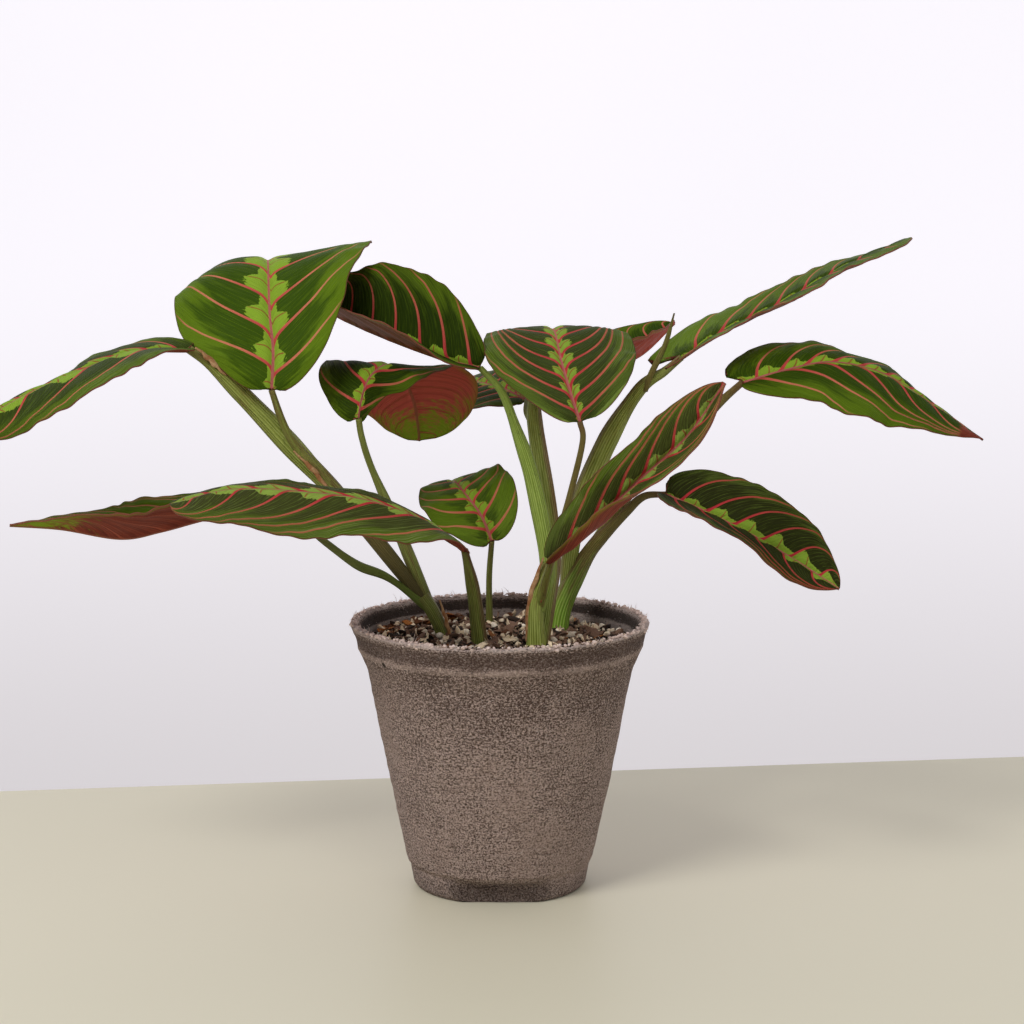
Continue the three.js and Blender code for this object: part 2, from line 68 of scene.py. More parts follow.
# rib: midrib from base to tip. face: where the upper side looks. half, fold, curl: half-width and
# angles of each half at even stations. round: fullness at the base. lobe: how far the margin reaches
# back past it. wave: height and number of the margin's ripples. tip: its bluntness.
# veins: spacing along the midrib and sweep to the tip. bow: how much of the sweep waits for the margin.
# band: reach of the lime band. A half may set veins and band for itself. grow: the band widens to the
# tip. tone: 0 darkest blade to 1 brightest, partly each blade's own colour and partly painted light. warm:
# browner blotches. blotch: how much further out they reach. red_tip: the tip's edge shows red. dry: brown
# patches at the margin, green at the tip beneath. under_green, olive_under, lit_under: how green at the
# tip, how olive, and how much brightened by painted light the underside is.
LEAVES = {
    "leaf_far_left": {
        "rib": [(-109, -5, 194), (-128, -12, 194), (-146, -20, 188), (-166, -28, 179), (-183, -34, 168)],
        "face": [(0, 0.25, 1), (0, 0.05, 1), (0, -0.45, 1)],
        "left": {"half": [18, 23, 24], "fold": [-8, -12, -15], "curl": [-5, -5, -10], "round": 2.6,
                 "veins": (0.27, 0.8), "band": 0.32},
        "right": {"half": [22], "fold": [34, 5, -15, -30], "curl": [-5, -10, -20], "lobe": 6},
        "wave": (0.8, 3),
        "veins": (0.14, 0.5), "band": 0.22, "tone": 0.6, "warm": 0.3,
    },
    "leaf_arched_top": {
        "rib": [(-80, -8, 180), (-80, 0, 193), (-82, 10, 206), (-84, 28, 221), (-86, 48, 223),
                (-88, 66, 218), (-90, 82, 209)],
        "face": [(0, -1, 0.7), (0, -0.9, 1), (0, 0, 1), (0, 0.3, 1)],
        "left": {"half": [31, 36, 38, 31], "fold": [12, 12, 12, 0], "curl": [-10, -45, -75, -50]},
        "right": {"half": [22, 29, 42, 36], "fold": [5, 10, 8, 0], "curl": [0]},
        "wave": (1, 3),
        "veins": (0.135, 0.46), "band": 0.25, "tone": 1.0, "blotch": 0.14,
    },
    "leaf_back_left": {
        "rib": [(-7, 12, 186), (-17, 15, 188), (-36, 22, 194), (-55, 34, 201), (-70, 48, 208)],
        "face": [(0, -0.5, 0.86)],
        "left": {"half": [24], "fold": [30, 50, 52, 40], "curl": [0]},
        "right": {"half": [24, 27, 26], "fold": [50, 55, 50], "curl": [0]},
        "veins": (0.135, 0.46), "bow": 0.14, "band": 0.16, "tone": 0.4, "olive_under": 0.9,
    },
    "leaf_domed": {
        "rib": [(-50, 0, 169), (-49, 4, 176), (-46.5, 10, 183), (-41, 19, 187), (-36, 30, 183),
                (-32, 38, 172), (-30.5, 42, 162), (-30, 43, 156)],
        "face": [(-0.2, -1, 0.6), (-0.1, -0.7, 1), (0, 0.2, 1), (0, 1, 0.3), (0, 1, 0.3)],
        "left": {"half": [18, 24, 24, 19], "fold": [-4, -4, 6, 0], "curl": [-10, -5, -10]},
        "right": {"half": [8, 10, 16, 21, 28, 28], "fold": [-65, -50, -10, 5, 8, 0], "curl": [0, -10, -10]},
        "tip": (3, 0.5),
        "veins": (0.13, 0.42), "band": 0.22, "tone": 0.5, "under_green": 1.0, "lit_under": 1.0,
    },
    "leaf_centre": {
        "rib": [(28, -18, 170), (25, -8, 179), (22, 6, 189), (20, 24, 198), (19, 42, 198), (19, 60, 194)],
        "face": [(0, -1, 0.8), (0, -0.8, 1), (0, 0, 1)],
        "left": {"half": [18, 27, 29], "fold": [10, 5, -3], "curl": [-10, -15, -10], "lobe": 1},
        "right": {"half": [25, 28, 29], "fold": [10, 5, -3], "curl": [-10, -20, -20], "lobe": 1},
        "veins": (0.1, 0.95), "bow": 0.25, "band": 0.17, "tone": 0.55, "warm": 0.55,
    },
    "leaf_back_centre": {
        "rib": [(22, 34, 179), (37, 38, 183), (52, 48, 188), (65, 58, 199)],
        "face": [(0, -0.17, 1)],
        "left": {"half": [20], "fold": [12], "curl": [5]},
        "right": {"half": [20], "fold": [38], "curl": [10]},
        "veins": (0.14, 0.42), "band": 0.2, "tone": 0.7, "lit_under": 0.9,
    },
    "leaf_high_right": {
        "rib": [(65, 10, 190), (79, 12, 199), (100, 16, 209), (124, 22, 222), (148, 28, 232)],
        "face": [(0, 0, 1)],
        "left": {"half": [17, 18, 17], "fold": [18, 4, -14], "curl": [0, 5, 0], "round": 6, "lobe": 13},
        "right": {"half": [20], "fold": [-2], "curl": [20, 20, 10], "lobe": 15},
        "tip": (6, 0.55),
        "veins": (0.12, 0.4), "band": 0.07, "tone": 0.85, "warm": 0.2, "blotch": -0.3,
    },
    "leaf_right": {
        "rib": [(86, 0, 182), (101, -4, 187), (117, -6, 190), (135, -6, 186), (153, -4, 175), (172, 0, 162)],
        "face": [(0, -0.5, 1), (0, -0.6, 1), (0, -0.5, 1)],
        "left": {"half": [20, 16, 11], "fold": [20, -16, -38], "curl": [-20], "round": 3.5, "lobe": 10},
        "right": {"half": [20, 25, 19], "fold": [-5], "curl": [-10], "round": 1.6,
                  "veins": (0.14, 0.85), "band": 0.1},
        "wave": (0.8, 4), "tip": (2, 0.9), "red_tip": 1.0,
        "veins": (0.1, 0.32), "band": 0.2, "tone": 0.75, "blotch": -0.08,
    },
    "leaf_front_slant": {
        "rib": [(18, -30, 123), (31, -38, 136), (47, -46, 153), (63, -52, 169), (75, -54, 187)],
        "face": [(-0.4, -1, 0.4), (-0.4, -1, 0.4), (-0.3, -1, 0.5)],
        "left": {"half": [12, 12, 17], "fold": [30, 40, 25], "curl": [0]},
        "right": {"half": [14, 16, 15, 14], "fold": [20, 20, 30, 35], "curl": [120, 110, 30, 10]},
        "wave": (0.8, 3),
        "veins": (0.15, 0.7), "band": 0.3, "tone": 0.75, "warm": 1.0,
    },
    "leaf_low_right": {
        "rib": [(60, 14, 140), (72, 4, 136), (87, -8, 130), (103, -20, 122), (118, -28, 113)],
        "face": [(0.1, -0.7, 1)],
        "left": {"half": [17, 18, 18, 17], "fold": [25, 22, 12], "curl": [0], "round": 3, "lobe": 5},
        "right": {"half": [17, 20, 17, 18], "fold": [30, 35, 10], "curl": [0, 0, -20],
                  "veins": (0.16, 0.75)},
        "grow": 1.0,
        "veins": (0.16, 0.4), "bow": 0.14, "band": 0.33, "tone": 0.1, "warm": 0.5,
    },
    "leaf_front_left": {
        "rib": [(-12, -26, 126), (-24, -34, 137), (-44, -42, 146), (-67, -48, 150), (-90, -50, 151),
                (-111, -50, 146)],
        "face": [(0, -0.1, 1), (0, -0.35, 1), (0, -0.35, 1)],
        "left": {"half": [14, 19, 21, 20], "fold": [0, -13, -13, 0], "curl": [-10, -15, -10]},
        "right": {"half": [20], "fold": [0, -16, -22], "curl": [-5, -5, -10],
                  "veins": (0.14, 0.8)},
        "wave": (1, 3), "tip": (4, 0.5),
        "veins": (0.14, 0.6), "band": 0.24, "tone": 0.55, "warm": 0.9,
    },
    "leaf_low_left": {
        "rib": [(-69, 2, 130), (-84, -2, 135), (-101, -6, 135), (-119, -11, 131), (-133, -15, 129),
                (-153, -19, 133), (-170, -24, 135)],
        "face": [(0, 0, 1)],
        "left": {"half": [10, 15, 20, 15], "fold": [40, 38, 36, 30], "curl": [0]},
        "right": {"half": [12, 16, 21, 18], "fold": [10, 20, 34, 24, 5], "curl": [0]},
        "tip": (2, 1),
        "veins": (0.14, 0.45), "band": 0.2, "tone": 1.0, "dry": 1.0, "blotch": -0.5,
    },
    "leaf_small": {
        "rib": [(-3, 26, 121), (-7, 30, 130), (-13, 38, 137), (-17, 50, 140), (-20, 64, 138)],
        "face": [(0, -0.9, 0.8), (0, -0.8, 1), (0, -0.2, 1)],
        "left": {"half": [17], "fold": [5, 0, 0], "curl": [-10, -20, -20]},
        "right": {"half": [17, 18, 17], "fold": [20, 12, 5], "curl": [0]},
        "wave": (0.8, 3),
        "veins": (0.15, 0.38), "band": 0.24, "tone": 1.0, "warm": 0.2, "blotch": -0.2,
    },
    "leaf_hidden": {
        "rib": [(10, 44, 171), (2, 58, 174), (-7, 74, 175), (-15, 92, 174)],
        "face": [(0, -0.6, 1), (0, -0.6, 1), (0, -0.4, 1)],
        "left": {"half": [18], "fold": [5, 0, 0], "curl": [-10, -20, -20]},
        "right": {"half": [18], "fold": [10], "curl": [0]},
        "veins": (0.14, 0.4), "band": 0.2, "tone": 0.6,
    },
}

# Stalks of each shoot: path and radii at even stations. brown, deep, fresh: how weathered, how darkened
# by painted shade and how vividly green each is at its lower and upper end. flush: maroon down one side,
# the other side where it is below 0.
SHOOTS = {
    "shoot_left": [
        {"path": [(-17, 6, 72), (-20, 6, 88), (-24, 6, 98), (-28, 6, 104)], "radius": [2, 2.4, 2.6],
         "brown": (0.5, 0.25), "deep": (0.45, 0.35), "flush": -0.5},
        {"path": [(-26, 6, 100), (-40, 4, 111), (-51, 2, 116), (-62, 2, 124), (-69, 2, 130)],
         "radius": [1.8, 1.2, 1.7, 1.3, 1.1],
         "brown": (0.1, 0.4), "deep": (0.45, 0.75), "fresh": (0.6, 0.0)},
        {"path": [(-26, 7, 100), (-41, 6, 120), (-60, 4, 144), (-74, 0, 161)], "radius": [2.2, 2.8, 2.9, 2.2],
         "brown": (1.1, 0.45), "deep": (0.75, 0.1)},
        {"path": [(-59, 4, 142), (-84, 0, 170), (-100, -3, 187), (-109, -5, 194)],
         "radius": [2.8, 3.9, 3.2, 1.5], "brown": (0.05, 0.5), "flush": 0.5},
        {"path": [(-60, 3, 144), (-71, -2, 158), (-76, -5, 167), (-80, -8, 180)],
         "radius": [1.8, 1.8, 1.4, 1.1], "brown": (0.5, 0.6)},
        {"path": [(-25, 7, 99), (-38, 10, 131), (-46, 6, 151), (-49, 2, 162), (-50, 0, 169)],
         "radius": [2.2, 2.3, 1.9, 1.2, 1.1], "brown": (0.55, 0.25), "deep": (0.5, 0.0), "flush": -0.3},
    ],
    "shoot_front": [
        {"path": [(-6, -7, 72), (-7, -10, 90), (-9, -16, 109), (-12, -26, 126)],
         "radius": [2.8, 2.8, 2.4, 1.3], "brown": (0.3, 0.4), "deep": (0.35, 0.35), "flush": -0.85},
    ],
    "shoot_small": [
        {"path": [(-4, 32, 72), (-4, 32, 91), (-4, 30, 107), (-3, 26, 121)], "radius": [1.3, 1.3, 1.1, 1],
         "brown": (0.5, 0.5), "deep": (0.35, 0.1)},
    ],
    "shoot_centre": [
        {"path": [(13, -12, 72), (13, -14, 90), (13, -14, 106), (17, -14, 119)],
         "radius": [3.2, 3.5, 2.9, 2.2], "brown": (0.15, 0.45)},
        {"path": [(14, -14, 102), (17, -10, 118), (12, 0, 146), (5.5, 5, 166), (0.5, 9, 178), (-7, 12, 186)],
         "radius": [2, 2.7, 3, 2.6, 1.6, 1.1], "brown": (0.0, 0.3), "fresh": (0.3, 0.5)},
        {"path": [(14.5, -11, 84), (17.5, -5, 104), (19, 3, 116), (18, 10, 131), (14.5, 20, 153),
                  (12.5, 28, 170), (15, 32, 176), (22, 34, 179)],
         "radius": [2.2, 2.6, 3.2, 3.4, 2.9, 1.3], "brown": (0.35, 0.2), "flush": -0.85},
        {"path": [(13, 28, 163), (10, 36, 167), (10, 44, 171)], "radius": [1.6, 1.2, 1.1],
         "brown": (0.5, 0.5)},
        {"path": [(14, -14, 104), (16, -21, 114), (18, -30, 123)], "radius": [1.8, 1.5, 1.2],
         "brown": (0.5, 0.6)},
        {"path": [(16, -14, 112), (20, -14, 126), (25, -16, 145), (29, -18, 163), (28, -18, 170)],
         "radius": [1.3, 1.2, 1.1, 1], "brown": (0.7, 0.85)},
    ],
    "shoot_right": [
        {"path": [(20, 20, 72), (21, 20, 88), (23.5, 21, 100), (33, 22, 118), (45, 18, 132), (52, 15, 139),
                  (60, 14, 140)],
         "radius": [3.6, 4, 3.7, 2.6, 1.7, 1.1],
         "brown": (0.0, 1.2), "deep": (0.0, 0.45), "fresh": (1.3, 0.0), "flush": 0.6},
        {"path": [(23.5, 22, 98), (28, 23, 129), (38, 18, 157), (50, 12, 178), (59, 10, 185), (65, 10, 190)],
         "radius": [2.2, 3.1, 4, 3.7, 2.4, 1.2], "brown": (0.15, 0.4), "flush": 0.6},
        {"path": [(26, 22, 108), (44, 21, 135), (58, 16, 151), (71, 8, 166), (79, 4, 175), (86, 0, 182)],
         "radius": [1.8, 1.8, 1.7, 1.9, 1.2], "brown": (0.5, 0.9)},
    ],
}
ROLLED_LEAF = {"path": [(52, 10.5, 178), (54, 8.5, 184), (59, 7, 195), (62, 6, 206)],
               "radius": [1.1, 1.1, 0.9, 0.3], "brown": (0.75, 0.6)}
STALK_RIBS = 9
STALK_RIB_DEPTH = 0.035

# Dry sheath ends lying on the stalks: path, direction of the outer side and half-widths.
DRY_STRIPS = [
    {"path": [(9.7, -14.4, 91), (9.8, -15.4, 102), (11.8, -16.2, 112), (15.4, -17.3, 122)],
     "face": [(-0.8, -1, 0)], "half": [0.7, 1.1, 1, 0.3]},
    {"path": [(14.5, -17.8, 106), (16.6, -18.2, 114), (19, -19, 121)], "face": [(0.2, -1, 0)],
     "half": [0.3, 1, 0.3]},
    {"path": [(-17.4, 3.6, 88), (-19.2, 3.6, 96), (-21.6, 4, 103)], "face": [(0.9, -1, 0)],
     "half": [0.7, 0.8, 0.3]},
    {"path": [(-106.5, -7.4, 195), (-102, -6.4, 191.5), (-96, -5, 185)], "face": [(0.3, -0.8, 1)],
     "half": [0.4, 1.3, 0.5]},
    {"path": [(-59.5, -1.5, 142), (-66, -2.6, 151), (-73, -3.4, 158)], "face": [(0.3, -1, 0.2)],
     "half": [0.4, 0.9, 0.3]},
]

# Pot and potting mix. The profile is radius and height, up the outside from the foot, down the inside.
# Pulp marks are laid out on the wall unrolled at PULP_RADIUS. Groove and ridge are heights on the wall,
# painted shade in the groove and a painted highlight on the ridge: where each begins, is full, fades and
# ends. LIP_TUFTS are the degrees at which long fibres bunch.
RIM_RADIUS = 53.4
POT_HEIGHT = 96.8
FOOT_RADIUS = 31.3
FOOT_HEIGHT = 9.6
FOOT_PANEL_FROM_CENTRE = 27.2
PULP_RADIUS = 45
RIM_GROOVE = (88.4, 90.0, 93.2, 95.0)
RIM_RIDGE = (85.6, 86.8, 87.6, 88.8)
PINHOLE = (-0.040, -0.0308, 0.0864)
LIP_TUFTS = (20, 50, 66, 88, 93, 110, 113, 136, 158, 205, 236, 291, 318)
TUFT_STRANDS = 9
SOIL_LEVEL = 88
GROUND_LEVEL = SOIL_LEVEL + 0.5
SOIL_EDGE = 48.6
POT_PROFILE = [
    (20, 0), (FOOT_RADIUS - 1, 0.2), (FOOT_RADIUS, 1.4), (FOOT_RADIUS + 0.7, 6),
    (FOOT_RADIUS + 0.9, FOOT_HEIGHT - 1), (FOOT_RADIUS + 2.2, FOOT_HEIGHT + 0.2), (39.6, 38), (43.8, 59),
    (47.4, 78.4), (48.1, 80.8), (49.3, 83.4), (50.3, 85.8), (51.2, 87.6), (51.3, 88.8), (51.8, 91.5),
    (52.9, 94.6), (RIM_RADIUS, 95.8), (RIM_RADIUS - 0.5, POT_HEIGHT - 0.2), (RIM_RADIUS - 1.4, POT_HEIGHT),
    (51, POT_HEIGHT - 0.5), (50.2, 95), (48.4, 86), (45.2, 79.5),
]

# Seeds of the random draws, one for each piece made of many small bodies.
SEEDS = {
    "lip_fibres": 41,
    "lip_crumbs": 43,
    "bark_chips": 51,
    "perlite_grains": 52,
    "coir_fibres": 53,
    "pale_flakes": 54,
    "coir_litter": 55,
}


# Numbers and curves

def lerp(a, b, share):
    return a + (b - a) * share


def along(stations, u):
    """Values at even stations of 0 to 1, blended smoothly. u is an array."""
    values = np.asarray(stations, float)
    if len(values) == 1:
        return np.repeat(values, len(u), axis=0)
    place = u * (len(values) - 1)
    index = np.clip(place.astype(int), 0, len(values) - 2)
    part = place - index
    blend = part * part * (3 - 2 * part)
    if values.ndim > 1:
        blend = blend[:, None]
    return values[index] * (1 - blend) + values[index + 1] * blend


def curve_through(points, count, samples=40):
    """Even steps along a smooth curve through the points."""
    path = np.asarray(points, float)
    held = np.vstack([2 * path[0] - path[1], path, 2 * path[-1] - path[-2]])
    t = np.linspace(0, 1, samples, endpoint=False)[:, None]
    pieces = []
    for i in range(len(path) - 1):
        a, b, c, d = held[i:i + 4]
        pieces.append(0.5 * (2 * b + (c - a) * t + (2 * a - 5 * b + 4 * c - d) * t ** 2
                             + (3 * b - a - 3 * c + d) * t ** 3))
    fine = np.vstack(pieces + [path[-1:]])
    run = np.r_[0, np.cumsum(np.linalg.norm(np.diff(fine, axis=0), axis=1))]
    places = np.linspace(0, run[-1], count)
    return np.stack([np.interp(places, run, fine[:, k]) for k in range(3)], axis=1), run[-1]


def unit(vectors):
    return vectors / np.maximum(np.linalg.norm(vectors, axis=-1, keepdims=True), 1e-9)


def smoothstep(low, high, x):
    part = np.clip((x - low) / (high - low), 0, 1)
    return part * part * (3 - 2 * part)


def ripples(x, y, seed, scale):
    """Smooth, repeatable unevenness from a few crossed waves."""
    draw = np.random.default_rng(seed)
    total = np.zeros(np.broadcast(x, y).shape)
    for _ in range(7):
        angle, phase = draw.uniform(0, TAU, 2)
        pitch = scale * draw.uniform(0.6, 1.8)
        total = total + np.sin((x * math.cos(angle) + y * math.sin(angle)) / pitch + phase)
    return total / 7


# Mesh making

def add_object(name, points, faces, materials, face_materials=None, corner_data=None, smooth=True):
    """One mesh object from points in millimetres, riding on the plant's only body."""
    mesh = bpy.data.meshes.new(name)
    mesh.from_pydata((np.asarray(points) * MM).tolist(), [], [list(map(int, face)) for face in faces])
    for material in materials:
        mesh.materials.append(material)
    if face_materials is not None:
        mesh.polygons.foreach_set("material_index", np.asarray(face_materials, dtype=np.int32))
    for key, values in (corner_data or {}).items():
        layer = mesh.attributes.new(key, "FLOAT_VECTOR", "CORNER")
        layer.data.foreach_set("vector", np.asarray(values, dtype=np.float32).ravel())
    mesh.polygons.foreach_set("use_smooth", np.full(len(mesh.polygons), smooth))
    mesh.validate()
    mesh.update()
    made = bpy.data.objects.new(name, mesh)
    bpy.context.scene.collection.objects.link(made)
    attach(made, BODY)
    return made


def grid_faces(rows, columns, start=0, flip=False, wrap=False):
    """Quads over a grid of points, as an array of four corners each."""
    i, j = np.meshgrid(np.arange(rows - 1), np.arange(columns if wrap else columns - 1), indexing="ij")
    following = (j + 1) % columns
    a, b = i * columns + j, (i + 1) * columns + j
    c, d = (i + 1) * columns + following, i * columns + following
    quads = np.stack([a, b, c, d] if not flip else [a, d, c, b], axis=-1).reshape(-1, 4)
    return quads + start


def sheet_faces(rows, columns, start=0):
    """Faces of a thin closed sheet: its upper grid, its lower grid and the wall round them."""
    count = rows * columns
    edge = np.concatenate([np.arange(rows) * columns, (rows - 1) * columns + np.arange(1, columns),
                           np.arange(rows - 2, -1, -1) * columns + columns - 1,
                           np.arange(columns - 2, 0, -1)])
    following = np.roll(edge, -1)
    wall = np.stack([edge, edge + count, following + count, following], -1) + start
    return grid_faces(rows, columns, start), grid_faces(rows, columns, start + count, flip=True), wall


def fused(bodies):
    """Points and faces of many small bodies, as those of one mesh."""
    points, faces, start = [], [], 0
    for body, body_faces in bodies:
        points.append(body)
        faces.extend([[index + start for index in face] for face in body_faces])
        start += len(body)
    return np.concatenate(points), faces


# Leaves

def leaf_outline(u, tip, roundness):
    back = 1 - np.clip(u / WIDEST_AT, 0, 1)
    base = (1 - back ** roundness) ** (1 / roundness)
    x = np.clip((u - WIDEST_AT) / (1 - WIDEST_AT), 0, 1)
    return np.where(u < WIDEST_AT, base, (1 - x ** tip[0]) ** tip[1])


def vein_start(phase, step):
    """Where along the midrib each side vein leaves it: crowded at the base, then evenly spaced."""
    rest = np.maximum(phase, 0)
    return step * (rest - VEIN_CROWDING * (1 - np.exp(-rest / VEIN_CROWDING)) + 0.25 * np.minimum(phase, 0))


def vein_sweep(s, bow):
    """How far a side vein has swept towards the tip at a share s of the half-width, from 0 to 1."""
    return (0.3 - bow) * s + 0.42 * s ** 2 + (0.28 + bow) * s ** 5 - 0.1 * np.exp(-s / 0.06)


def vein_phases(u, t, step, sweep, bow, shift):
    """The vein coordinate over a half blade: whole numbers lie on the side veins."""
    ladder = np.linspace(-4, 16, 500)
    start = vein_start(ladder, step)
    lift = sweep * np.clip(1 - start, 0.05, 1) ** 0.6 * (0.3 + 0.7 * smoothstep(-0.03, 0.28, start))
    phases = np.empty((len(u), t.shape[1]))
    for column, share in enumerate(vein_sweep(t[0], bow)):
        phases[:, column] = np.interp(u, start + lift * share, ladder)
    return phases + shift


def phase_pitch(points, phase):
    """Millimetres of blade between one side vein and the next, at each point."""
    down, over = np.gradient(points, axis=0), np.gradient(points, axis=1)
    phase_down, phase_over = np.gradient(phase, axis=0), np.gradient(phase, axis=1)
    e, f, g = (np.sum(a * b, axis=2) for a, b in ((down, down), (down, over), (over, over)))
    slope = g * phase_down ** 2 - 2 * f * phase_down * phase_over + e * phase_over ** 2
    return np.clip(np.sqrt((e * g - f * f) / np.maximum(slope, 1e-12)), 0.5, 30)


def ruffle(u, length, key):
    """Fine unevenness of a margin, in millimetres."""
    run = u * length
    return (0.36 * np.sin(run / 1.9 + key) * np.sin(run / 6.1 + 2 * key)
            + 0.2 * np.sin(run / 1.15 + 3 * key))[:, None]


def leaf_surface(leaf, rows, columns):
    """Places along and across a blade, and both halves as (rows, columns) grids with their widths."""
    spec = {**LEAF_DEFAULTS, **leaf}
    u = np.linspace(0, 1, rows)
    rib, length = curve_through(spec["rib"], rows)
    tangent = unit(np.gradient(rib, axis=0))
    normal = along(spec["face"], u)
    normal = unit(normal - np.sum(normal * tangent, axis=1, keepdims=True) * tangent)
    side = np.cross(tangent, normal)
    envelope = np.sqrt(np.clip(np.sin(np.pi * u), 0, 1))
    t = np.linspace(0, 1, columns)[None, :]
    early = np.clip(1 - u / LOBE_REACH, 0, 1)
    amp, count = spec["wave"]
    halves = []
    for key, sign, phase in (("left", -1, 0), ("right", 1, WAVE_OFFSET_RIGHT)):
        half = {**HALF_DEFAULTS, **spec[key]}
        share = leaf_outline(u, spec["tip"], half["round"])
        width = np.maximum(along(half["half"], u) * share, LEAST_HALF_WIDTH)[:, None]
        fold = np.radians(along(half["fold"], u))[:, None]
        curl = np.radians(along(half["curl"], u))[:, None]
        curl = np.where(np.abs(curl) < 1e-4, 1e-4, curl)
        out = width * (np.sin(fold + curl * t) - np.sin(fold)) / curl
        up = width * (np.cos(fold) - np.cos(fold + curl * t)) / curl
        fullness = np.sin(np.pi / 2 * np.minimum(t / LOBE_FULL_AT, 1)) * (share ** LOBE_EASE)[:, None]
        back = half["lobe"] * early[:, None] ** 2 * fullness
        ripple = amp * t ** 2 * (np.sin(2 * np.pi * (count * u + phase)) * envelope)[:, None]
        ripple = ripple + ruffle(u, length, sign + spec["rib"][0][0]) * t ** 4 * envelope[:, None]
        points = rib[:, None] + sign * out[..., None] * side[:, None]
        points = points + (up + ripple)[..., None] * normal[:, None] - back[..., None] * tangent[:, None]
        halves.append((points, width))
    return u, t, halves


def leaf_relief(phase, s, width, seed):
    """Height of the upper side: sunk veins, cushions between them, a channel along the midrib."""
    cell = phase - np.floor(phase)
    near = np.minimum(cell, 1 - cell)
    cushion = np.sin(np.pi * np.clip(near / 0.5, 0, 1) / 2) ** 0.8
    inner = smoothstep(0, 0.12, s) * (1 - smoothstep(0.75, 1, s))
    spread = np.clip(width / 16, 0, 1)
    channel = -0.55 * np.exp(-(s * width / 1.3) ** 2)
    rumple = 0.22 * ripples(phase * 5, s * 14, seed, 1.1) * smoothstep(0.5, 1, s) * spread
    return 0.55 * cushion * inner * spread + channel + rumple


def build_leaf(name, leaf, rows, columns, thickness, materials):
    """One blade: two halves joined at the midrib, closed to a thin sheet with raised veins."""
    u, t, halves = leaf_surface(leaf, rows, columns)
    seed = sorted(LEAVES).index(name) + 3
    grids, data, heights = [], [], []
    for (points, width), shift, key in zip(halves, (0.0, RIGHT_VEINS_LOWER), ("left", "right")):
        s = np.broadcast_to(t, points.shape[:2])
        wander = 0.12 * np.sin(6 * u[:, None] + seed + 3 * shift) * s
        step, sweep = leaf[key].get("veins", leaf["veins"])
        phase = vein_phases(u, t, step, sweep, leaf.get("bow", 0.0), shift) + wander
        grids.append(points)
        heights.append(leaf_relief(phase, s, width, seed))
        pitch = phase_pitch(points, phase)
        place = np.stack([phase, s, s * width], -1)
        scale = np.stack(np.broadcast_arrays(pitch, u[:, None], width), -1)
        data.append((place, scale))
    middle = np.concatenate([grids[0][:, ::-1], grids[1][:, 1:]], axis=1)
    height = np.concatenate([heights[0][:, ::-1], heights[1][:, 1:]], axis=1)
    normal = unit(np.cross(np.gradient(middle, axis=1), np.gradient(middle, axis=0)))
    wide = middle.shape[1]
    upper = middle + normal * (height + thickness / 2)[..., None]
    lower = middle + normal * (height - thickness / 2)[..., None]
    lower -= normal * (0.35 * np.exp(-(np.abs(np.linspace(-1, 1, wide)) * 16) ** 2))[None, :, None]
    points = np.concatenate([upper.reshape(-1, 3), lower.reshape(-1, 3)])
    count = rows * wide
    top, bottom, rim = sheet_faces(rows, wide)
    faces = np.concatenate([top, bottom, rim])

    # Each half has its own vein coordinates, so the corners of a face read its own side's.
    merged = [np.concatenate([data[0][k][:, ::-1], data[1][k][:, 1:]], axis=1).reshape(-1, 3) for k in (0, 1)]
    left_middle = [data[0][k][:, 0] for k in (0, 1)]
    corner_data = {}
    flat = faces.reshape(-1) % count
    column = flat % wide
    on_left = np.repeat((column.reshape(-1, 4).min(axis=1) < columns - 1), 4)
    for key, k in (("leaf_place", 0), ("leaf_scale", 1)):
        values = merged[k][flat]
        swap = on_left & (column == columns - 1)
        values[swap] = left_middle[k][flat[swap] // wide]
        corner_data[key] = values
    looks = {
        "leaf_look": [leaf["tone"], leaf["band"], leaf.get("under_green", 0.0) - leaf.get("dry", 0.0)],
        "leaf_cast": [leaf.get(key, 0.0) for key in ("warm", "grow", "red_tip")],
        "leaf_more": [leaf.get(key, 0.0) for key in ("blotch", "olive_under", "lit_under")],
    }
    for attribute, values in looks.items():
        corner_data[attribute] = np.tile(values, (len(flat), 1))
    bands = [leaf[key].get("band", leaf["band"]) for key in ("left", "right")]
    corner_data["leaf_look"][:, 1] = np.where(on_left, *bands)
    face_materials = np.concatenate([np.zeros(len(top)), np.ones(len(bottom)), np.full(len(rim), 2)])
    made = add_object(name + "_blade", points, faces, materials, face_materials, corner_data)
    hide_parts(name)


# Shader building

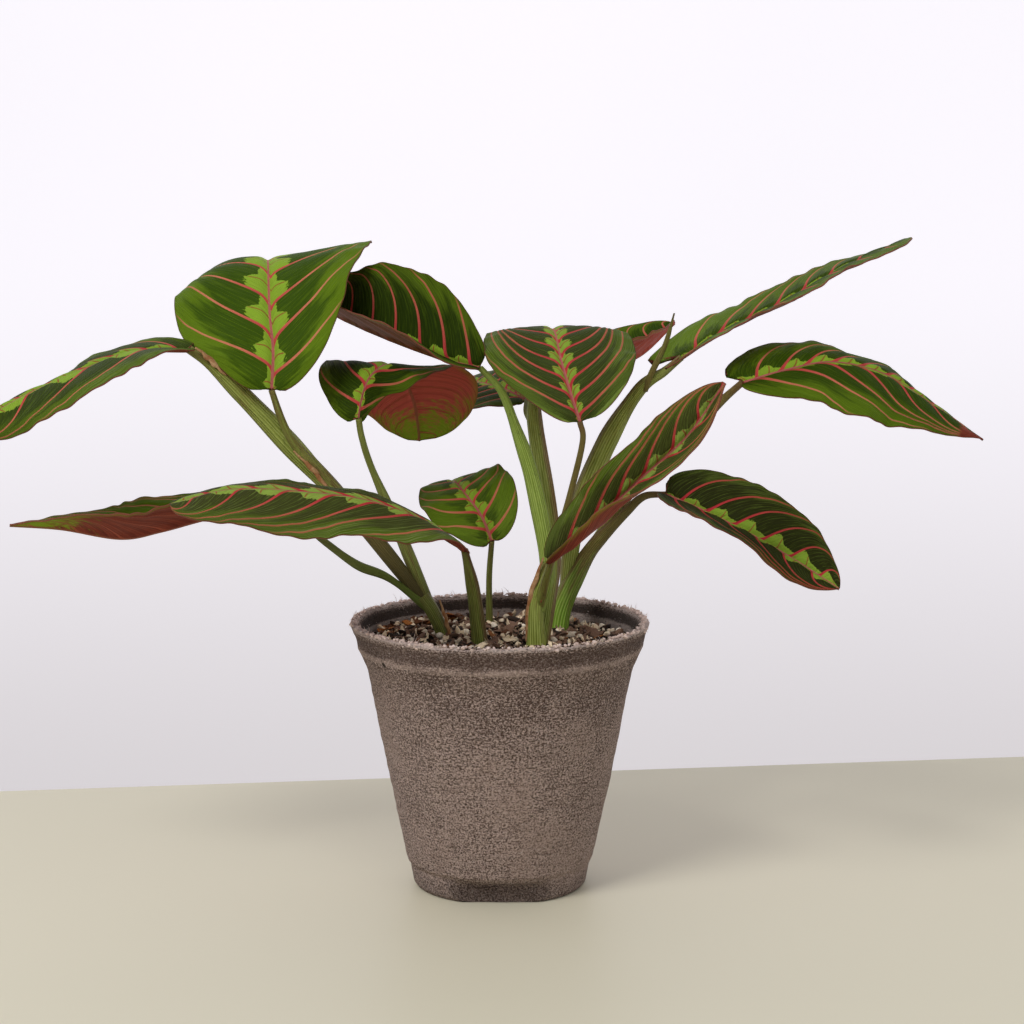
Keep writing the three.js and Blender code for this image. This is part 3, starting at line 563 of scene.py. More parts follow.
class Field:
    """A value inside a node tree, so that patterns can be written as sums and products."""

    def __init__(self, tree, socket):
        self.tree = tree
        self.socket = socket

    def math(self, operation, *others):
        node = self.tree.nodes.new("ShaderNodeMath")
        node.operation = operation
        for slot, value in zip(node.inputs, (self, *others)):
            if isinstance(value, Field):
                self.tree.links.new(value.socket, slot)
            else:
                slot.default_value = value
        return Field(self.tree, node.outputs[0])

    def __add__(self, other):
        return self.math("ADD", other)

    def __sub__(self, other):
        return self.math("SUBTRACT", other)

    def __mul__(self, other):
        return self.math("MULTIPLY", other)

    def power(self, other):
        return self.math("POWER", other)

    def fraction(self):
        return self.math("FRACT")

    def least(self, other):
        return self.math("MINIMUM", other)

    def most(self, other):
        return self.math("MAXIMUM", other)

    def flipped(self):
        return (self * -1.0) + 1.0

    def step(self, low, high):
        """0 below low, 1 above high, smooth between; low and high may be fields."""
        node = self.tree.nodes.new("ShaderNodeMapRange")
        node.interpolation_type = "SMOOTHSTEP"
        self.tree.links.new(self.socket, node.inputs["Value"])
        for key, value in (("From Min", low), ("From Max", high)):
            if isinstance(value, Field):
                self.tree.links.new(value.socket, node.inputs[key])
            else:
                node.inputs[key].default_value = value
        return Field(self.tree, node.outputs["Result"])

    def between(self, low, full, fading, high):
        """1 from full to fading, 0 below low and above high, smooth between."""
        return self.step(low, full) * self.step(fading, high).flipped()

    def waves(self, count, shift=0.0):
        """0 to 1 and back, count times for each whole step of the value."""
        return (self * (TAU * count) + shift).math("SINE") * 0.5 + 0.5

    def ramp(self, *stops):
        """A value from places and heights along 0 to 1."""
        node = self.tree.nodes.new("ShaderNodeValToRGB")
        elements = node.color_ramp.elements
        while len(elements) < len(stops):
            elements.new(0.5)
        for element, (place, height) in zip(elements, stops):
            element.position = place
            element.color = (height, height, height, 1)
        self.tree.links.new(self.socket, node.inputs["Fac"])
        return Field(self.tree, node.outputs["Color"])


class Finish:
    """A material in the making: one principled shader and the fields that feed it."""

    def __init__(self, name, roughness, specular=0.5, **sockets):
        self.material = bpy.data.materials.new(name)
        self.material.use_nodes = True
        self.tree = self.material.node_tree
        self.shader = self.tree.nodes["Principled BSDF"]
        self.shader.inputs["Roughness"].default_value = roughness
        self.shader.inputs["Specular IOR Level"].default_value = specular
        for key, value in sockets.items():
            self.shader.inputs[key].default_value = value

    def split(self, vector):
        node = self.tree.nodes.new("ShaderNodeSeparateXYZ")
        self.tree.links.new(vector, node.inputs[0])
        return [Field(self.tree, socket) for socket in node.outputs]

    def attribute(self, name):
        node = self.tree.nodes.new("ShaderNodeAttribute")
        node.attribute_name = name
        return self.split(node.outputs["Vector"])

    def object_point(self, scale=(1, 1, 1)):
        node = self.tree.nodes.new("ShaderNodeTexCoord")
        mapping = self.tree.nodes.new("ShaderNodeMapping")
        mapping.inputs["Scale"].default_value = scale
        self.tree.links.new(node.outputs["Object"], mapping.inputs["Vector"])
        return mapping.outputs["Vector"]

    def point(self, x, y, z=0.0):
        node = self.tree.nodes.new("ShaderNodeCombineXYZ")
        for slot, value in zip(node.inputs, (x, y, z)):
            if isinstance(value, Field):
                self.tree.links.new(value.socket, slot)
            else:
                slot.default_value = value
        return node.outputs[0]

    def noise(self, vector, scale, detail=3.0, roughness=0.55):
        node = self.tree.nodes.new("ShaderNodeTexNoise")
        node.inputs["Scale"].default_value = scale
        node.inputs["Detail"].default_value = detail
        node.inputs["Roughness"].default_value = roughness
        self.tree.links.new(vector, node.inputs["Vector"])
        return Field(self.tree, node.outputs[0])

    def cells(self, vector, scale):
        """Distance to the nearest of many scattered points."""
        node = self.tree.nodes.new("ShaderNodeTexVoronoi")
        node.inputs["Scale"].default_value = scale
        self.tree.links.new(vector, node.inputs["Vector"])
        return Field(self.tree, node.outputs["Distance"])

    def mix(self, below, above, share):
        """Two colours mixed; each is a setting, three numbers or another mix."""
        node = self.tree.nodes.new("ShaderNodeMix")
        node.data_type = "RGBA"
        for key, value in (("A", below), ("B", above)):
            slot = [i for i in node.inputs if i.name == key and i.type == "RGBA"][0]
            if isinstance(value, bpy.types.NodeSocket):
                self.tree.links.new(value, slot)
            else:
                slot.default_value = (*value[:3], 1)
        factor = node.inputs[0]
        if isinstance(share, Field):
            self.tree.links.new(share.socket, factor)
        else:
            factor.default_value = share
        return [o for o in node.outputs if o.type == "RGBA"][0]

    def colour(self, socket):
        self.tree.links.new(socket, self.shader.inputs["Base Color"])

    def roughness(self, field):
        self.tree.links.new(field.socket, self.shader.inputs["Roughness"])

    def bump(self, height, distance, strength=1.0):
        node = self.tree.nodes.new("ShaderNodeBump")
        node.inputs["Distance"].default_value = distance
        node.inputs["Strength"].default_value = strength
        self.tree.links.new(height.socket, node.inputs["Height"])
        self.tree.links.new(node.outputs["Normal"], self.shader.inputs["Normal"])


# Leaf finishes

def leaf_fields(finish):
    phase, s, across = finish.attribute("leaf_place")
    pitch, u, width = finish.attribute("leaf_scale")
    tone, band, extra = finish.attribute("leaf_look")
    cell = phase.fraction()
    near = cell.least(cell.flipped())
    return phase, s, across, pitch, u, width, tone, band, extra, cell, near


def vein_mask(near, pitch, s, u, thick, thin):
    """Main side veins: half-width thick at the midrib, thin at the margin."""
    reach = (s * -1.0 + 1.0) * (thick - thin) + thin
    reach = reach * ((u * -0.35) + 1.1)
    distance = near * pitch
    return distance.step(reach * 0.75, reach * 1.25).flipped()


def leaf_upper(look):
    finish = Finish("leaf_upper_side", look.gloss, 0.04)
    phase, s, across, pitch, u, width, tone, band, extra, cell, near = leaf_fields(finish)
    warm, grow, red_tip = finish.attribute("leaf_cast")
    further = finish.attribute("leaf_more")[0]
    flow = finish.noise(finish.point(phase * 2.2, s * 1.5), 2.2, 3.0)
    grain = finish.noise(finish.point(phase * 24.0, s * 3.0), 1.0, 3.0)
    teeth = finish.noise(finish.point(phase * 9.0, s * 9.0), 1.6, 2.0)

    # Green, streaked along the veins and paler outwards.
    # tone brightens the green: partly the blade's own colour, partly painted light on the blades that catch
    # most light.
    green = finish.mix(look.green, look.bright_green, tone)
    outward = s.step(0.35, 0.95)
    lines = phase.waves(7, flow * 5.0).power(4.0) * grain.step(0.35, 0.6)
    streak = grain.step(0.46, 0.64)
    pale = finish.mix(look.pale_green, look.grey_green, warm)
    green = finish.mix(green, pale, u.step(0.0, 0.4).flipped() * tone * 0.4)
    clearer = outward * 0.6 + 0.2 + warm * 0.2
    green = finish.mix(green, pale, (streak * 0.6).most(lines * (warm * 0.3 + 0.7)) * clearer)

    # Blackish blotches between the veins, reaching further out on a dark blade.
    reach = (tone * -0.34) + 0.92
    reach = reach + (flow - 0.5) * 0.75 + (grain - 0.5) * 0.4 + (near - 0.25) * 0.6 + further
    blotch = s.step(reach - 0.2, reach + 0.12).flipped()
    dark = finish.mix(look.dark_green, look.deep_green, tone)
    olive = finish.mix(look.deep_olive, look.olive, tone)
    dark = finish.mix(dark, olive, warm)
    dark = finish.mix(dark, green, (streak * 0.35).most(lines * (warm * 0.3 + 0.5)))
    body = finish.mix(green, dark, blotch * ((tone * -0.2) + 1.0))

    # Lime band along the midrib, with a toothed lobe in each space between veins.
    slanted = cell + s * 1.5
    lobe = slanted.ramp((0.0, 0.5), (0.1, 0.74), (0.3, 0.86), (0.62, 1.0), (0.69, 0.92), (0.76, 0.42),
                        (1.0, 0.36))
    jag = (teeth - 0.5) * 0.7 + 1.0
    spread = (u * -0.3 + 1.12) + grow * (u * 1.3 - 0.82)
    limit = band * lobe * jag * spread
    lime = s.step(limit * 0.95, limit * 1.03 + 0.003).flipped()
    lime_colour = finish.mix(look.lime, look.pale_lime, grain)
    lime_colour = finish.mix(lime_colour, pale, warm * 0.45)
    body = finish.mix(body, lime_colour, lime)

    # Short veins inside the lobes, the main side veins, the midrib.
    short = (cell + s * 0.9 - 0.55).math("ABSOLUTE") * pitch
    short = short.step(0.13, 0.26).flipped() * s.step(limit * 0.8, limit * 1.0).flipped()
    vein_colour = finish.mix(look.vein, look.outer_vein, s.step(0.15, 0.8) * (tone * 0.9 + 0.1))
    bright = tone * (warm * -0.8 + 1.0) * (s.step(0.0, 0.6) * 0.5 + 0.15)
    vein_colour = finish.mix(vein_colour, look.bright_vein, bright)
    body = finish.mix(body, look.short_vein, short * 0.75)
    drawn = phase.step(0.2, 0.5)
    vein = vein_mask(near, pitch, s, u, 0.58, 0.27) * drawn * (s.step(0.9, 1.0) * -0.7 + 1.0)
    body = finish.mix(body, vein_colour, vein * (outward * -0.25 + 1.0))
    rib_reach = (u * -0.4) + 0.62
    rib = across.step(rib_reach * 0.7, rib_reach).flipped()
    body = finish.mix(body, look.rib, rib)
    margin = (width - across).step(0.12, 0.35).flipped()
    body = finish.mix(body, look.margin, margin * 0.8)

    # The reddened tip of one blade, and dry brown patches on the margin of an old one.
    body = finish.mix(body, look.under, red_tip * u.step(0.87, 0.9) * s.step(0.2, 0.4))
    dry = (extra * -1.0).most(0.0) * s.step(0.8, 0.95) * flow.step(0.5, 0.6)
    body = finish.mix(body, look.dry, dry)
    finish.colour(body)
    finish.roughness(grain * 0.2 + (look.gloss - 0.1))
    height = streak * 0.5 + grain * 0.5 + lines * 0.5 - vein * 0.5
    finish.bump(height, 0.0004, 0.7)
    return finish.material


def leaf_under(look):
    finish = Finish("leaf_under_side", 0.55, 0.12)
    phase, s, across, pitch, u, _, _, _, extra, _, near = leaf_fields(finish)
    flow = finish.noise(finish.point(phase * 1.4, s * 2.2), 2.4, 4.0)
    grain = finish.noise(finish.point(phase * 30.0, s * 5.0), 1.0, 3.0)
    body = finish.mix(look.under, look.under_deep, flow)
    _, olive, lit = finish.attribute("leaf_more")
    # Painted light: the underside of a brightly lit blade is lightened, by lit_under.
    body = finish.mix(body, look.under_painted_light, lit * 0.8)
    body = finish.mix(body, look.under_olive, olive * (flow * 0.7 + 0.3))
    streak = phase.waves(9) * grain
    body = finish.mix(body, look.under_vein, streak * 0.28)
    pleat = phase.waves(3, flow * 3.0).power(3.0)
    body = finish.mix(body, look.under_deep, pleat * (lit * -0.35 + 0.6))
    toward_tip = u + (flow - 0.5) * 0.35 + (grain - 0.5) * 0.4
    green = extra.most(0.0) * toward_tip.step(0.8, 0.95)
    green = green.most((extra * -1.0).most(0.0) * toward_tip.step(0.76, 0.88))
    edge = s.step(0.86, 1.0) * 0.4
    body = finish.mix(body, look.under_green, green.most(edge))
    vein = vein_mask(near, pitch, s, u, 0.5, 0.12) * phase.step(-0.3, -0.1)
    body = finish.mix(body, look.under_vein, vein * 0.7)
    rib = across.step(0.3, 0.7).flipped()
    body = finish.mix(body, look.under_rib, rib * 0.8)
    finish.colour(body)
    finish.bump(streak * 0.4 + vein, 0.0004, 0.8)
    return finish.material


def leaf_edge(look):
    finish = Finish("leaf_edge", 0.6, 0.3)
    grain = finish.noise(finish.object_point((400, 400, 400)), 1.0, 3.0)
    finish.colour(finish.mix(look.margin, look.under, grain))
    return finish.material


# Stalks

def stalk_points(stalk, steps_per_mm, sides):
    """Rings of points along a stalk, faintly ribbed, with their places along and round it."""
    _, length = curve_through(stalk["path"], 2)
    rings = max(8, int(length * steps_per_mm))
    centres, _ = curve_through(stalk["path"], rings)
    tangent = unit(np.gradient(centres, axis=0))
    first = unit(np.cross(tangent, np.array([0.0, 1.0, 0.15])))
    second = np.cross(tangent, first)
    place = np.linspace(0, 1, rings)
    radius = along(stalk["radius"], place)
    angle = np.linspace(0, TAU, sides, endpoint=False)
    swell = radius[:, None] * (1 + STALK_RIB_DEPTH * np.cos(STALK_RIBS * angle)[None, :])
    points = (centres[:, None] + (swell * np.cos(angle))[..., None] * first[:, None]
              + (swell * np.sin(angle))[..., None] * second[:, None])
    return points, place, angle, length


def ring_values(*values):
    """Three values for every point of a stalk's rings, from columns along it and rows round it."""
    return np.stack(np.broadcast_arrays(*values), -1).reshape(-1, 3)


def build_stalks(name, stalks, look, material):
    """A shoot's stalks as capped tubes in one object, each with its own tints."""
    points, faces, data, tints, looks = [], [], [], [], []
    start = 0
    for number, stalk in enumerate(stalks):
        rings, place, angle, length = stalk_points(stalk, look.rings_per_mm, look.sides)
        rows, sides = rings.shape[:2]
        quads = grid_faces(rows, sides, start, wrap=True)
        info = ring_values(place[:, None], angle[None, :] / TAU, float(number))
        brown, deep, fresh = stalk["brown"], stalk.get("deep", (0, 0)), stalk.get("fresh", (0, 0))
        flush = stalk.get("flush", 0.0)
        ends = [np.linspace(*pair, rows)[:, None] for pair in (brown, deep, fresh)]
        tints.append(ring_values(ends[0], ends[1], place[:, None] * length * np.ones(sides)))
        tints.append([[brown[0], deep[0], 0], [brown[1], deep[1], length]])
        looks.append(ring_values(ends[2], np.zeros(sides)[None, :], flush))
        looks.append([[fresh[0], 0, flush], [fresh[1], 0, flush]])
        centres = np.array([rings[0].mean(axis=0), rings[-1].mean(axis=0)])
        points.append(np.concatenate([rings.reshape(-1, 3), centres]))
        data.append(np.concatenate([info, [[0, 0, number], [1, 0, number]]]))
        faces.extend(quads.tolist())
        low, high = start + rows * sides, start + rows * sides + 1
        last = start + (rows - 1) * sides
        for k in range(sides):
            following = (k + 1) % sides
            faces.append([low, start + k, start + following])
            faces.append([high, last + following, last + k])
        start += rows * sides + 2
    points, data, tints, looks = (np.concatenate(part) for part in (points, data, tints, looks))
    corners = np.concatenate([np.array(face) for face in faces])
    corner_data = {
        "stalk_place": data[corners],
        "stalk_tint": tints[corners],
        "stalk_look": looks[corners],
    }
    made = add_object(name + "_stalks", points, faces, [material], None, corner_data)
    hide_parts(name)
    return made


def stalk_finish(look):
    """Ribbed sheaths: fresh green, weathered brown, ends darkened by painted shade, painted shade in the
    grooves and a painted highlight on the ribs, a maroon flush down one side, specks.
    """
    finish = Finish("stalk_skin", 0.5, 0.2)
    place, turn, number = finish.attribute("stalk_place")
    brown, deep, run = finish.attribute("stalk_tint")
    fresh, _, flush = finish.attribute("stalk_look")
    long_noise = finish.noise(finish.point(turn * 9.0, run * 0.06, number * 3.7), 1.6, 3.0)
    fine = finish.noise(finish.point(turn * 46.0, run * 0.12, number * 3.7), 1.0, 2.0)
    specks = finish.noise(finish.object_point((700, 700, 500)), 1.0, 3.0)
    ribs = turn.waves(24, long_noise * 3.0)
    body = finish.mix(look.stalk_green, look.stalk_pale, fine.step(0.3, 0.7))
    body = finish.mix(body, look.stalk_fresh, fresh * (fine * 0.5 + 0.6))
    shade = (brown + (long_noise - 0.5) * 1.1).step(0.3, 0.75)
    body = finish.mix(body, look.stalk_brown, shade * 0.9)
    facing = (turn * TAU).math("COSINE")
    side = (facing * flush + (long_noise - 0.5) * 0.35).step(0.22, 0.7) * flush.math("ABSOLUTE")
    body = finish.mix(body, look.stalk_maroon, side)
    # Painted shade in the grooves between the ribs, and a painted highlight on the rib tops.
    body = finish.mix(body, look.stalk_specks_and_shade, ribs.power(3.0) * 0.3)
    body = finish.mix(body, look.stalk_ridge_highlight, ribs.flipped().power(3.0) * (shade * -0.7 + 1.0) * 0.4)
    knee = place.step(0.9, 0.99) * brown
    body = finish.mix(body, look.stalk_knee, knee * 0.7)
    # Dark specks, and painted shade darkening a stalk by its deep value.
    body = finish.mix(body, look.stalk_specks_and_shade, (specks.step(0.6, 0.72) * 0.35).most(deep))
    finish.colour(body)
    finish.roughness(fine * 0.2 + 0.4)
    finish.bump(fine * 0.5 - ribs * 0.5 + specks * 0.3, 0.0005, 0.8)
    return finish.material


def build_strips(look):
    """Dry papery sheath ends: thin tapering strips bent across, lying on the stalks."""
    points, faces, start = [], [], 0
    rows, columns = 30, 7
    for strip in DRY_STRIPS:
        centres, _ = curve_through(strip["path"], rows)
        place = np.linspace(0, 1, rows)
        out = along(strip["face"], place)
        tangent = unit(np.gradient(centres, axis=0))
        out = unit(out - np.sum(out * tangent, axis=1, keepdims=True) * tangent)
        side = np.cross(tangent, out)
        across = np.linspace(-1, 1, columns)[None, :]
        width = (along(strip["half"], place)[:, None]
                 * (1 + 0.25 * np.sin(place * 23 + strip["path"][0][0])[:, None] * across))
        reach = width * across
        rise = 0.12 * np.sin(place * 14)[:, None] - 0.45 * width * across ** 2
        sheet = centres[:, None] + reach[..., None] * side[:, None] + rise[..., None] * out[:, None]
        for lift in (0.12, -0.12):
            points.append((sheet + lift * out[:, None]).reshape(-1, 3))
        faces += np.concatenate(sheet_faces(rows, columns, start)).tolist()
        start += 2 * rows * columns
    dry = simple_finish("dry_sheath", look.sheath, look.sheath_pale, 260.0, 0.7)
    made = add_object("dry_sheaths", np.concatenate(points), faces, [dry])


# Pot

def build_pot(pot, material):
    """Fine pulp shell with lumps, a ragged lip, a flat panel low on the front and back."""
    profile = np.array(POT_PROFILE, float)
    run = np.r_[0, np.cumsum(np.linalg.norm(np.diff(profile, axis=0), axis=1))]
    rows, columns = pot.rows, pot.columns
    places = np.linspace(0, run[-1], rows)
    r = np.interp(places, run, profile[:, 0])[:, None]
    z = np.interp(places, run, profile[:, 1])[:, None]
    angle = np.linspace(0, TAU, columns, endpoint=False)[None, :]
    gradient = np.stack([np.gradient(r[:, 0]), np.gradient(z[:, 0])], -1)
    outward = unit(np.stack([gradient[:, 1], -gradient[:, 0]], -1))
    arc = angle * PULP_RADIUS
    path = places[:, None]
    lumps = 0.28 * ripples(arc, path, 5, 2.6) + 0.5 * ripples(arc, path, 6, 9.0)
    fine = 0.22 * ripples(arc, path, 8, 0.8)
    lip = np.exp(-((z - POT_HEIGHT) / 2.2) ** 2) * (r > 49.5)
    ragged = lip * (0.7 * ripples(arc, path * 0.3, 9, 0.8) + 0.5 * ripples(arc, path * 0.2, 10, 3.4))
    push = (lumps + fine) * smoothstep(0, 4, z)
    rr = r + push * outward[:, :1] + 0.5 * ragged
    zz = z + push * outward[:, 1:] * smoothstep(0, 6, z) + 0.9 * ragged - 0.35 * lip
    x, y = rr * np.cos(angle), rr * np.sin(angle)
    low = 1 - smoothstep(FOOT_HEIGHT - 3.2, FOOT_HEIGHT - 1.2, zz + 0.02 * x)
    flat = FOOT_PANEL_FROM_CENTRE + 0.25 * ripples(x, zz, 12, 1.4)
    y = np.where(np.abs(y) > flat, np.sign(y) * lerp(np.abs(y), flat, low), y)
    points = np.stack([x, y, np.broadcast_to(zz, x.shape)], -1).reshape(-1, 3)
    faces = grid_faces(rows, columns, wrap=True, flip=True)
    base = len(points)
    points = np.concatenate([points, [[0, 0, 0]]])
    fan = [[base, k, (k + 1) % columns] for k in range(columns)]
    inside = smoothstep(run[-5], run[-3] + 1.5, path)
    place = np.stack(np.broadcast_arrays(arc, path, inside), -1).reshape(-1, 3)
    corners = np.concatenate([faces.reshape(-1), np.array(fan).reshape(-1)])
    place = np.concatenate([place, [[0, 0, 0]]])[corners]
    number = np.arange(len(corners))
    wraps = (number // 4 % columns == columns - 1) & (number < faces.size)
    place[wraps & (place[:, 0] < 1), 0] += PULP_RADIUS * TAU
    made = add_object("pot_shell", points, faces.tolist() + fan, [material], None, {"pot_place": place})
    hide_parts("pot")


def pot_finish(pot):
    """Pressed plant fibre: grainy grey-brown, dark and cream flecks, pale lip, painted shade inside, on the
    foot, in the groove and pits, a painted highlight on the ridge.
    """
    finish = Finish("pressed_fibre", 0.97, 0.1, **{"Sheen Weight": 0.08, "Sheen Roughness": 0.5})
    place = finish.object_point()
    arc, run, inside = finish.attribute("pot_place")
    height = finish.split(place)[2] * 1000.0
    front = finish.split(place)[1] * 1000.0
    wide = finish.noise(place, 38.0, 4.0)
    grain = finish.noise(finish.point(arc * 1.1, height * 1.6, inside * 9.0), 1.0, 3.0, 0.7)
    crumb = finish.noise(place, 1600.0, 3.0, 0.8)
    streak = finish.noise(finish.point(arc * 0.08, height * 1.15), 1.0, 4.0, 0.6)
    pick = finish.noise(place, 330.0, 2.0)
    mottle = grain * 0.5 + crumb * 0.5 + (wide - 0.5) * 0.1 - height.step(52.0, 84.0) * 0.03
    # Darker pulp lies in the hollows of the relief, partly its own colour and partly painted shade.
    body = finish.mix(pot.fibre_deep_and_shade, pot.fibre_pale_and_highlight, mottle.step(0.425, 0.56))
    body = finish.mix(body, pot.fibre, 0.08)
    body = finish.mix(body, pot.fibre_warm, wide.step(0.45, 0.7) * 0.35)
    body = finish.mix(body, pot.fibre_deep_and_shade, streak.step(0.52, 0.7) * 0.55)

    # Painted shade in the groove below the lip, a painted highlight on the ridge under it, painted shade
    # inside and on the foot, and the pale lip.
    edge = height + (streak - 0.5) * 2.5 + (grain - 0.5) * 3.0
    # Painted shade in the groove below the lip.
    body = finish.mix(body, pot.fibre_deep_and_shade, edge.between(*RIM_GROOVE) * 0.6)
    # Painted highlight along the ridge under the rim band.
    body = finish.mix(body, pot.fibre_pale_and_highlight, edge.between(*RIM_RIDGE) * (wide * 1.2 - 0.2))
    # Painted shade over the inside of the pot.
    body = finish.mix(body, pot.fibre_shade, inside * 0.85)
    body = finish.mix(body, pot.fleck_pale, inside * edge.step(90.6, 91.8).flipped() * 0.45)
    body = finish.mix(body, pot.fleck_pale, edge.step(94.6, 96.2) * (inside * -0.5 + 1.0) * 0.75)
    # Painted shade low on the foot and on the flat panels.
    foot = edge.step(0.5, 9.0).flipped()
    behind = front + FOOT_PANEL_FROM_CENTRE - 1.4 + (wide - 0.5) * 6.0 + (grain - 0.5) * 4.0
    panel = behind.step(-2.5, 1.5).flipped() * edge.step(4.5, 10.5).flipped() * (wide * 1.1 + 0.25)
    body = finish.mix(body, pot.fibre_shade, (foot * 0.35).most(panel))

    # Strands, pits darkened with painted shade, and the one pinhole as a dot of painted shade.
    flecks = finish.cells(finish.point(arc * 0.55, run * 1.3), 1.0).step(0.14, 0.32).flipped()
    body = finish.mix(body, pot.fleck_dark_and_shade, flecks * pick.step(0.52, 0.6) * 0.8)
    body = finish.mix(body, pot.fleck_pale, flecks * pick.step(0.38, 0.45).flipped() * 0.55)
    # Painted shade in the sunk pits.
    pit = finish.noise(finish.point(arc * 0.7, run * 1.1, 7.0), 1.0, 2.0)
    body = finish.mix(body, pot.fleck_dark_and_shade, pit.step(0.65, 0.7) * 0.85)
    x, y, z = (axis - at for axis, at in zip(finish.split(place), PINHOLE))
    away = (x * x + y * y + z * z).math("SQRT")
    # The pinhole is a dot of painted shade.
    finish.colour(finish.mix(body, pot.fibre_shade, away.step(0.0008, 0.0012).flipped()))
    finish.bump(mottle * 1.2 + streak * 0.4 + flecks * 0.3 - pit * 0.3, 0.0016, 0.9)
    return finish.material


# Potting mix

def soil_swell(x, y):
    """The gentle rise and fall that the loose bodies follow."""
    return 0.9 * ripples(x, y, 21, 3.2)


def build_ground(soil, material):
    """Uneven surface of the mix, from wall to wall, with a skirt down its edge."""
    rings, columns = soil.rings, soil.columns
    r = np.linspace(0, SOIL_EDGE, rings)[:, None]
    angle = np.linspace(0, TAU, columns, endpoint=False)[None, :]
    x, y = r * np.cos(angle), r * np.sin(angle)
    crumb = 0.8 * ripples(x, y, 20, 1.1) + soil_swell(x, y) + 0.7 * ripples(x, y, 22, 8)
    z = GROUND_LEVEL + crumb
    points = np.stack([x, y, z], -1).reshape(-1, 3)
    skirt = np.stack([0.93 * x[-1], 0.93 * y[-1], np.full(columns, SOIL_LEVEL - 6)], -1)
    points = np.concatenate([points, skirt])
    faces = grid_faces(rings + 1, columns, wrap=True)
    made = add_object("mix_ground", points, faces, [material])
    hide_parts("soil")


def lump(draw, size, squash, rings=4, sides=7):
    """A small rough stone-like body: points and faces round its own centre."""
    points, faces = [np.array([0, 0, -size * squash])], []
    for i in range(1, rings):
        polar = math.pi * i / rings
        for k in range(sides):
            turn = TAU * k / sides
            reach = size * draw.uniform(0.72, 1.15)
            points.append(np.array([reach * math.sin(polar) * math.cos(turn),
                                    reach * math.sin(polar) * math.sin(turn),
                                    -reach * squash * math.cos(polar)]))
    points.append(np.array([0, 0, size * squash]))
    for k in range(sides):
        following = (k + 1) % sides
        faces.append([0, 1 + following, 1 + k])
        top = 1 + (rings - 2) * sides
        faces.append([len(points) - 1, top + k, top + following])
        for i in range(rings - 2):
            a = 1 + i * sides
            faces.append([a + k, a + following, a + sides + following, a + sides + k])
    return np.array(points), faces


def turned(points, yaw, pitch, roll):
    ca, sa, cb, sb, cc, sc = (f(v) for v in (yaw, pitch, roll) for f in (math.cos, math.sin))
    about_z = np.array([[ca, -sa, 0], [sa, ca, 0], [0, 0, 1]])
    about_y = np.array([[cb, 0, sb], [0, 1, 0], [-sb, 0, cb]])
    about_x = np.array([[1, 0, 0], [0, cc, -sc], [0, sc, cc]])
    return points @ (about_z @ about_y @ about_x).T


def tumbled(draw, points, lean):
    """Turned any way round, and leaning by up to lean in both directions."""
    return turned(points, draw.uniform(0, 6.3), draw.uniform(-lean, lean), draw.uniform(-lean, lean))


def anywhere(draw, reach):
    return math.sqrt(draw.random()) * reach, draw.uniform(0, TAU)


def mostly_left_edge(draw, reach):
    """A quarter of the bodies anywhere, the others along the left part of the wall."""
    if draw.random() < 0.25:
        return anywhere(draw, reach)
    return draw.uniform(reach - 6, reach + 1.5), draw.uniform(1.9, 4.1)


def scatter(name, count, make, reach, material, spread=anywhere, lift=(0.1, 1.1), smooth=True):
    """Many small bodies over the mix, kept inside the pot, each with its own tone, in one object."""
    draw = random.Random(SEEDS[name])
    bodies, tones = [], []
    for _ in range(count):
        away, turn = spread(draw, reach)
        body, faces = make(draw)
        x, y = away * math.cos(turn), away * math.sin(turn)
        ground = GROUND_LEVEL + float(soil_swell(np.array(x), np.array(y)))
        body = body + np.array([x, y, ground + draw.uniform(*lift)])
        radius = np.linalg.norm(body[:, :2], axis=1)
        body[:, :2] *= np.minimum(1, (SOIL_EDGE - 0.6) / np.maximum(radius, 1))[:, None]
        bodies.append((body, faces))
        tones += [(draw.random(), draw.random(), 0.0)] * sum(len(face) for face in faces)
    made = add_object(name, *fused(bodies), [material], None, {"piece_tone": np.array(tones)}, smooth)


def strand(draw, length, radius, bend, sides=3, steps=6):
    """A thin bent fibre as a tapered three-sided tube."""
    heading = unit(np.array([draw.uniform(-1, 1), draw.uniform(-1, 1), draw.uniform(-0.2, 0.7)]))
    turn = np.array([draw.uniform(-1, 1), draw.uniform(-1, 1), draw.uniform(-1, 0.6)]) * bend
    centres = [np.zeros(3)]
    for i in range(steps):
        heading = unit(heading + turn / steps)
        centres.append(centres[-1] + heading * length / steps)
    points, faces = [], []
    for i, centre in enumerate(centres):
        r = radius * (1 - 0.7 * i / steps)
        for k in range(sides):
            a = TAU * k / sides
            points.append(centre + np.array([r * math.cos(a), r * math.sin(a), 0.4 * r * math.sin(2 * a)]))
    for i in range(steps):
        for k in range(sides):
            following = (k + 1) % sides
            a = i * sides
            faces.append([a + k, a + following, a + sides + following, a + sides + k])
    faces.append([2, 1, 0])
    faces.append([steps * sides + k for k in range(sides)])
    return np.array(points), faces


def chip(draw):
    points, faces = lump(draw, draw.uniform(0.9, 2.6), draw.uniform(0.22, 0.5), 4, 6)
    points[:, 0] *= draw.uniform(1.0, 2.0)
    return tumbled(draw, points, 0.7), faces


def grain(draw):
    points, faces = lump(draw, draw.uniform(0.6, 1.7), draw.uniform(0.7, 1.0), 5, 8)
    return tumbled(draw, points, 1), faces


def curled_flake(draw):
    points, faces = lump(draw, draw.uniform(0.7, 1.5), 0.14, 4, 8)
    points[:, 0] *= draw.uniform(1.1, 2.3)
    points[:, 2] += 0.3 * points[:, 0] ** 2 / 2.0
    return tumbled(draw, points, 1.2), faces


def coir_fibre(draw):
    points, faces = strand(draw, draw.uniform(3, 8), draw.uniform(0.1, 0.22), 1.8)
    points[:, 2] *= 0.35
    return points, faces


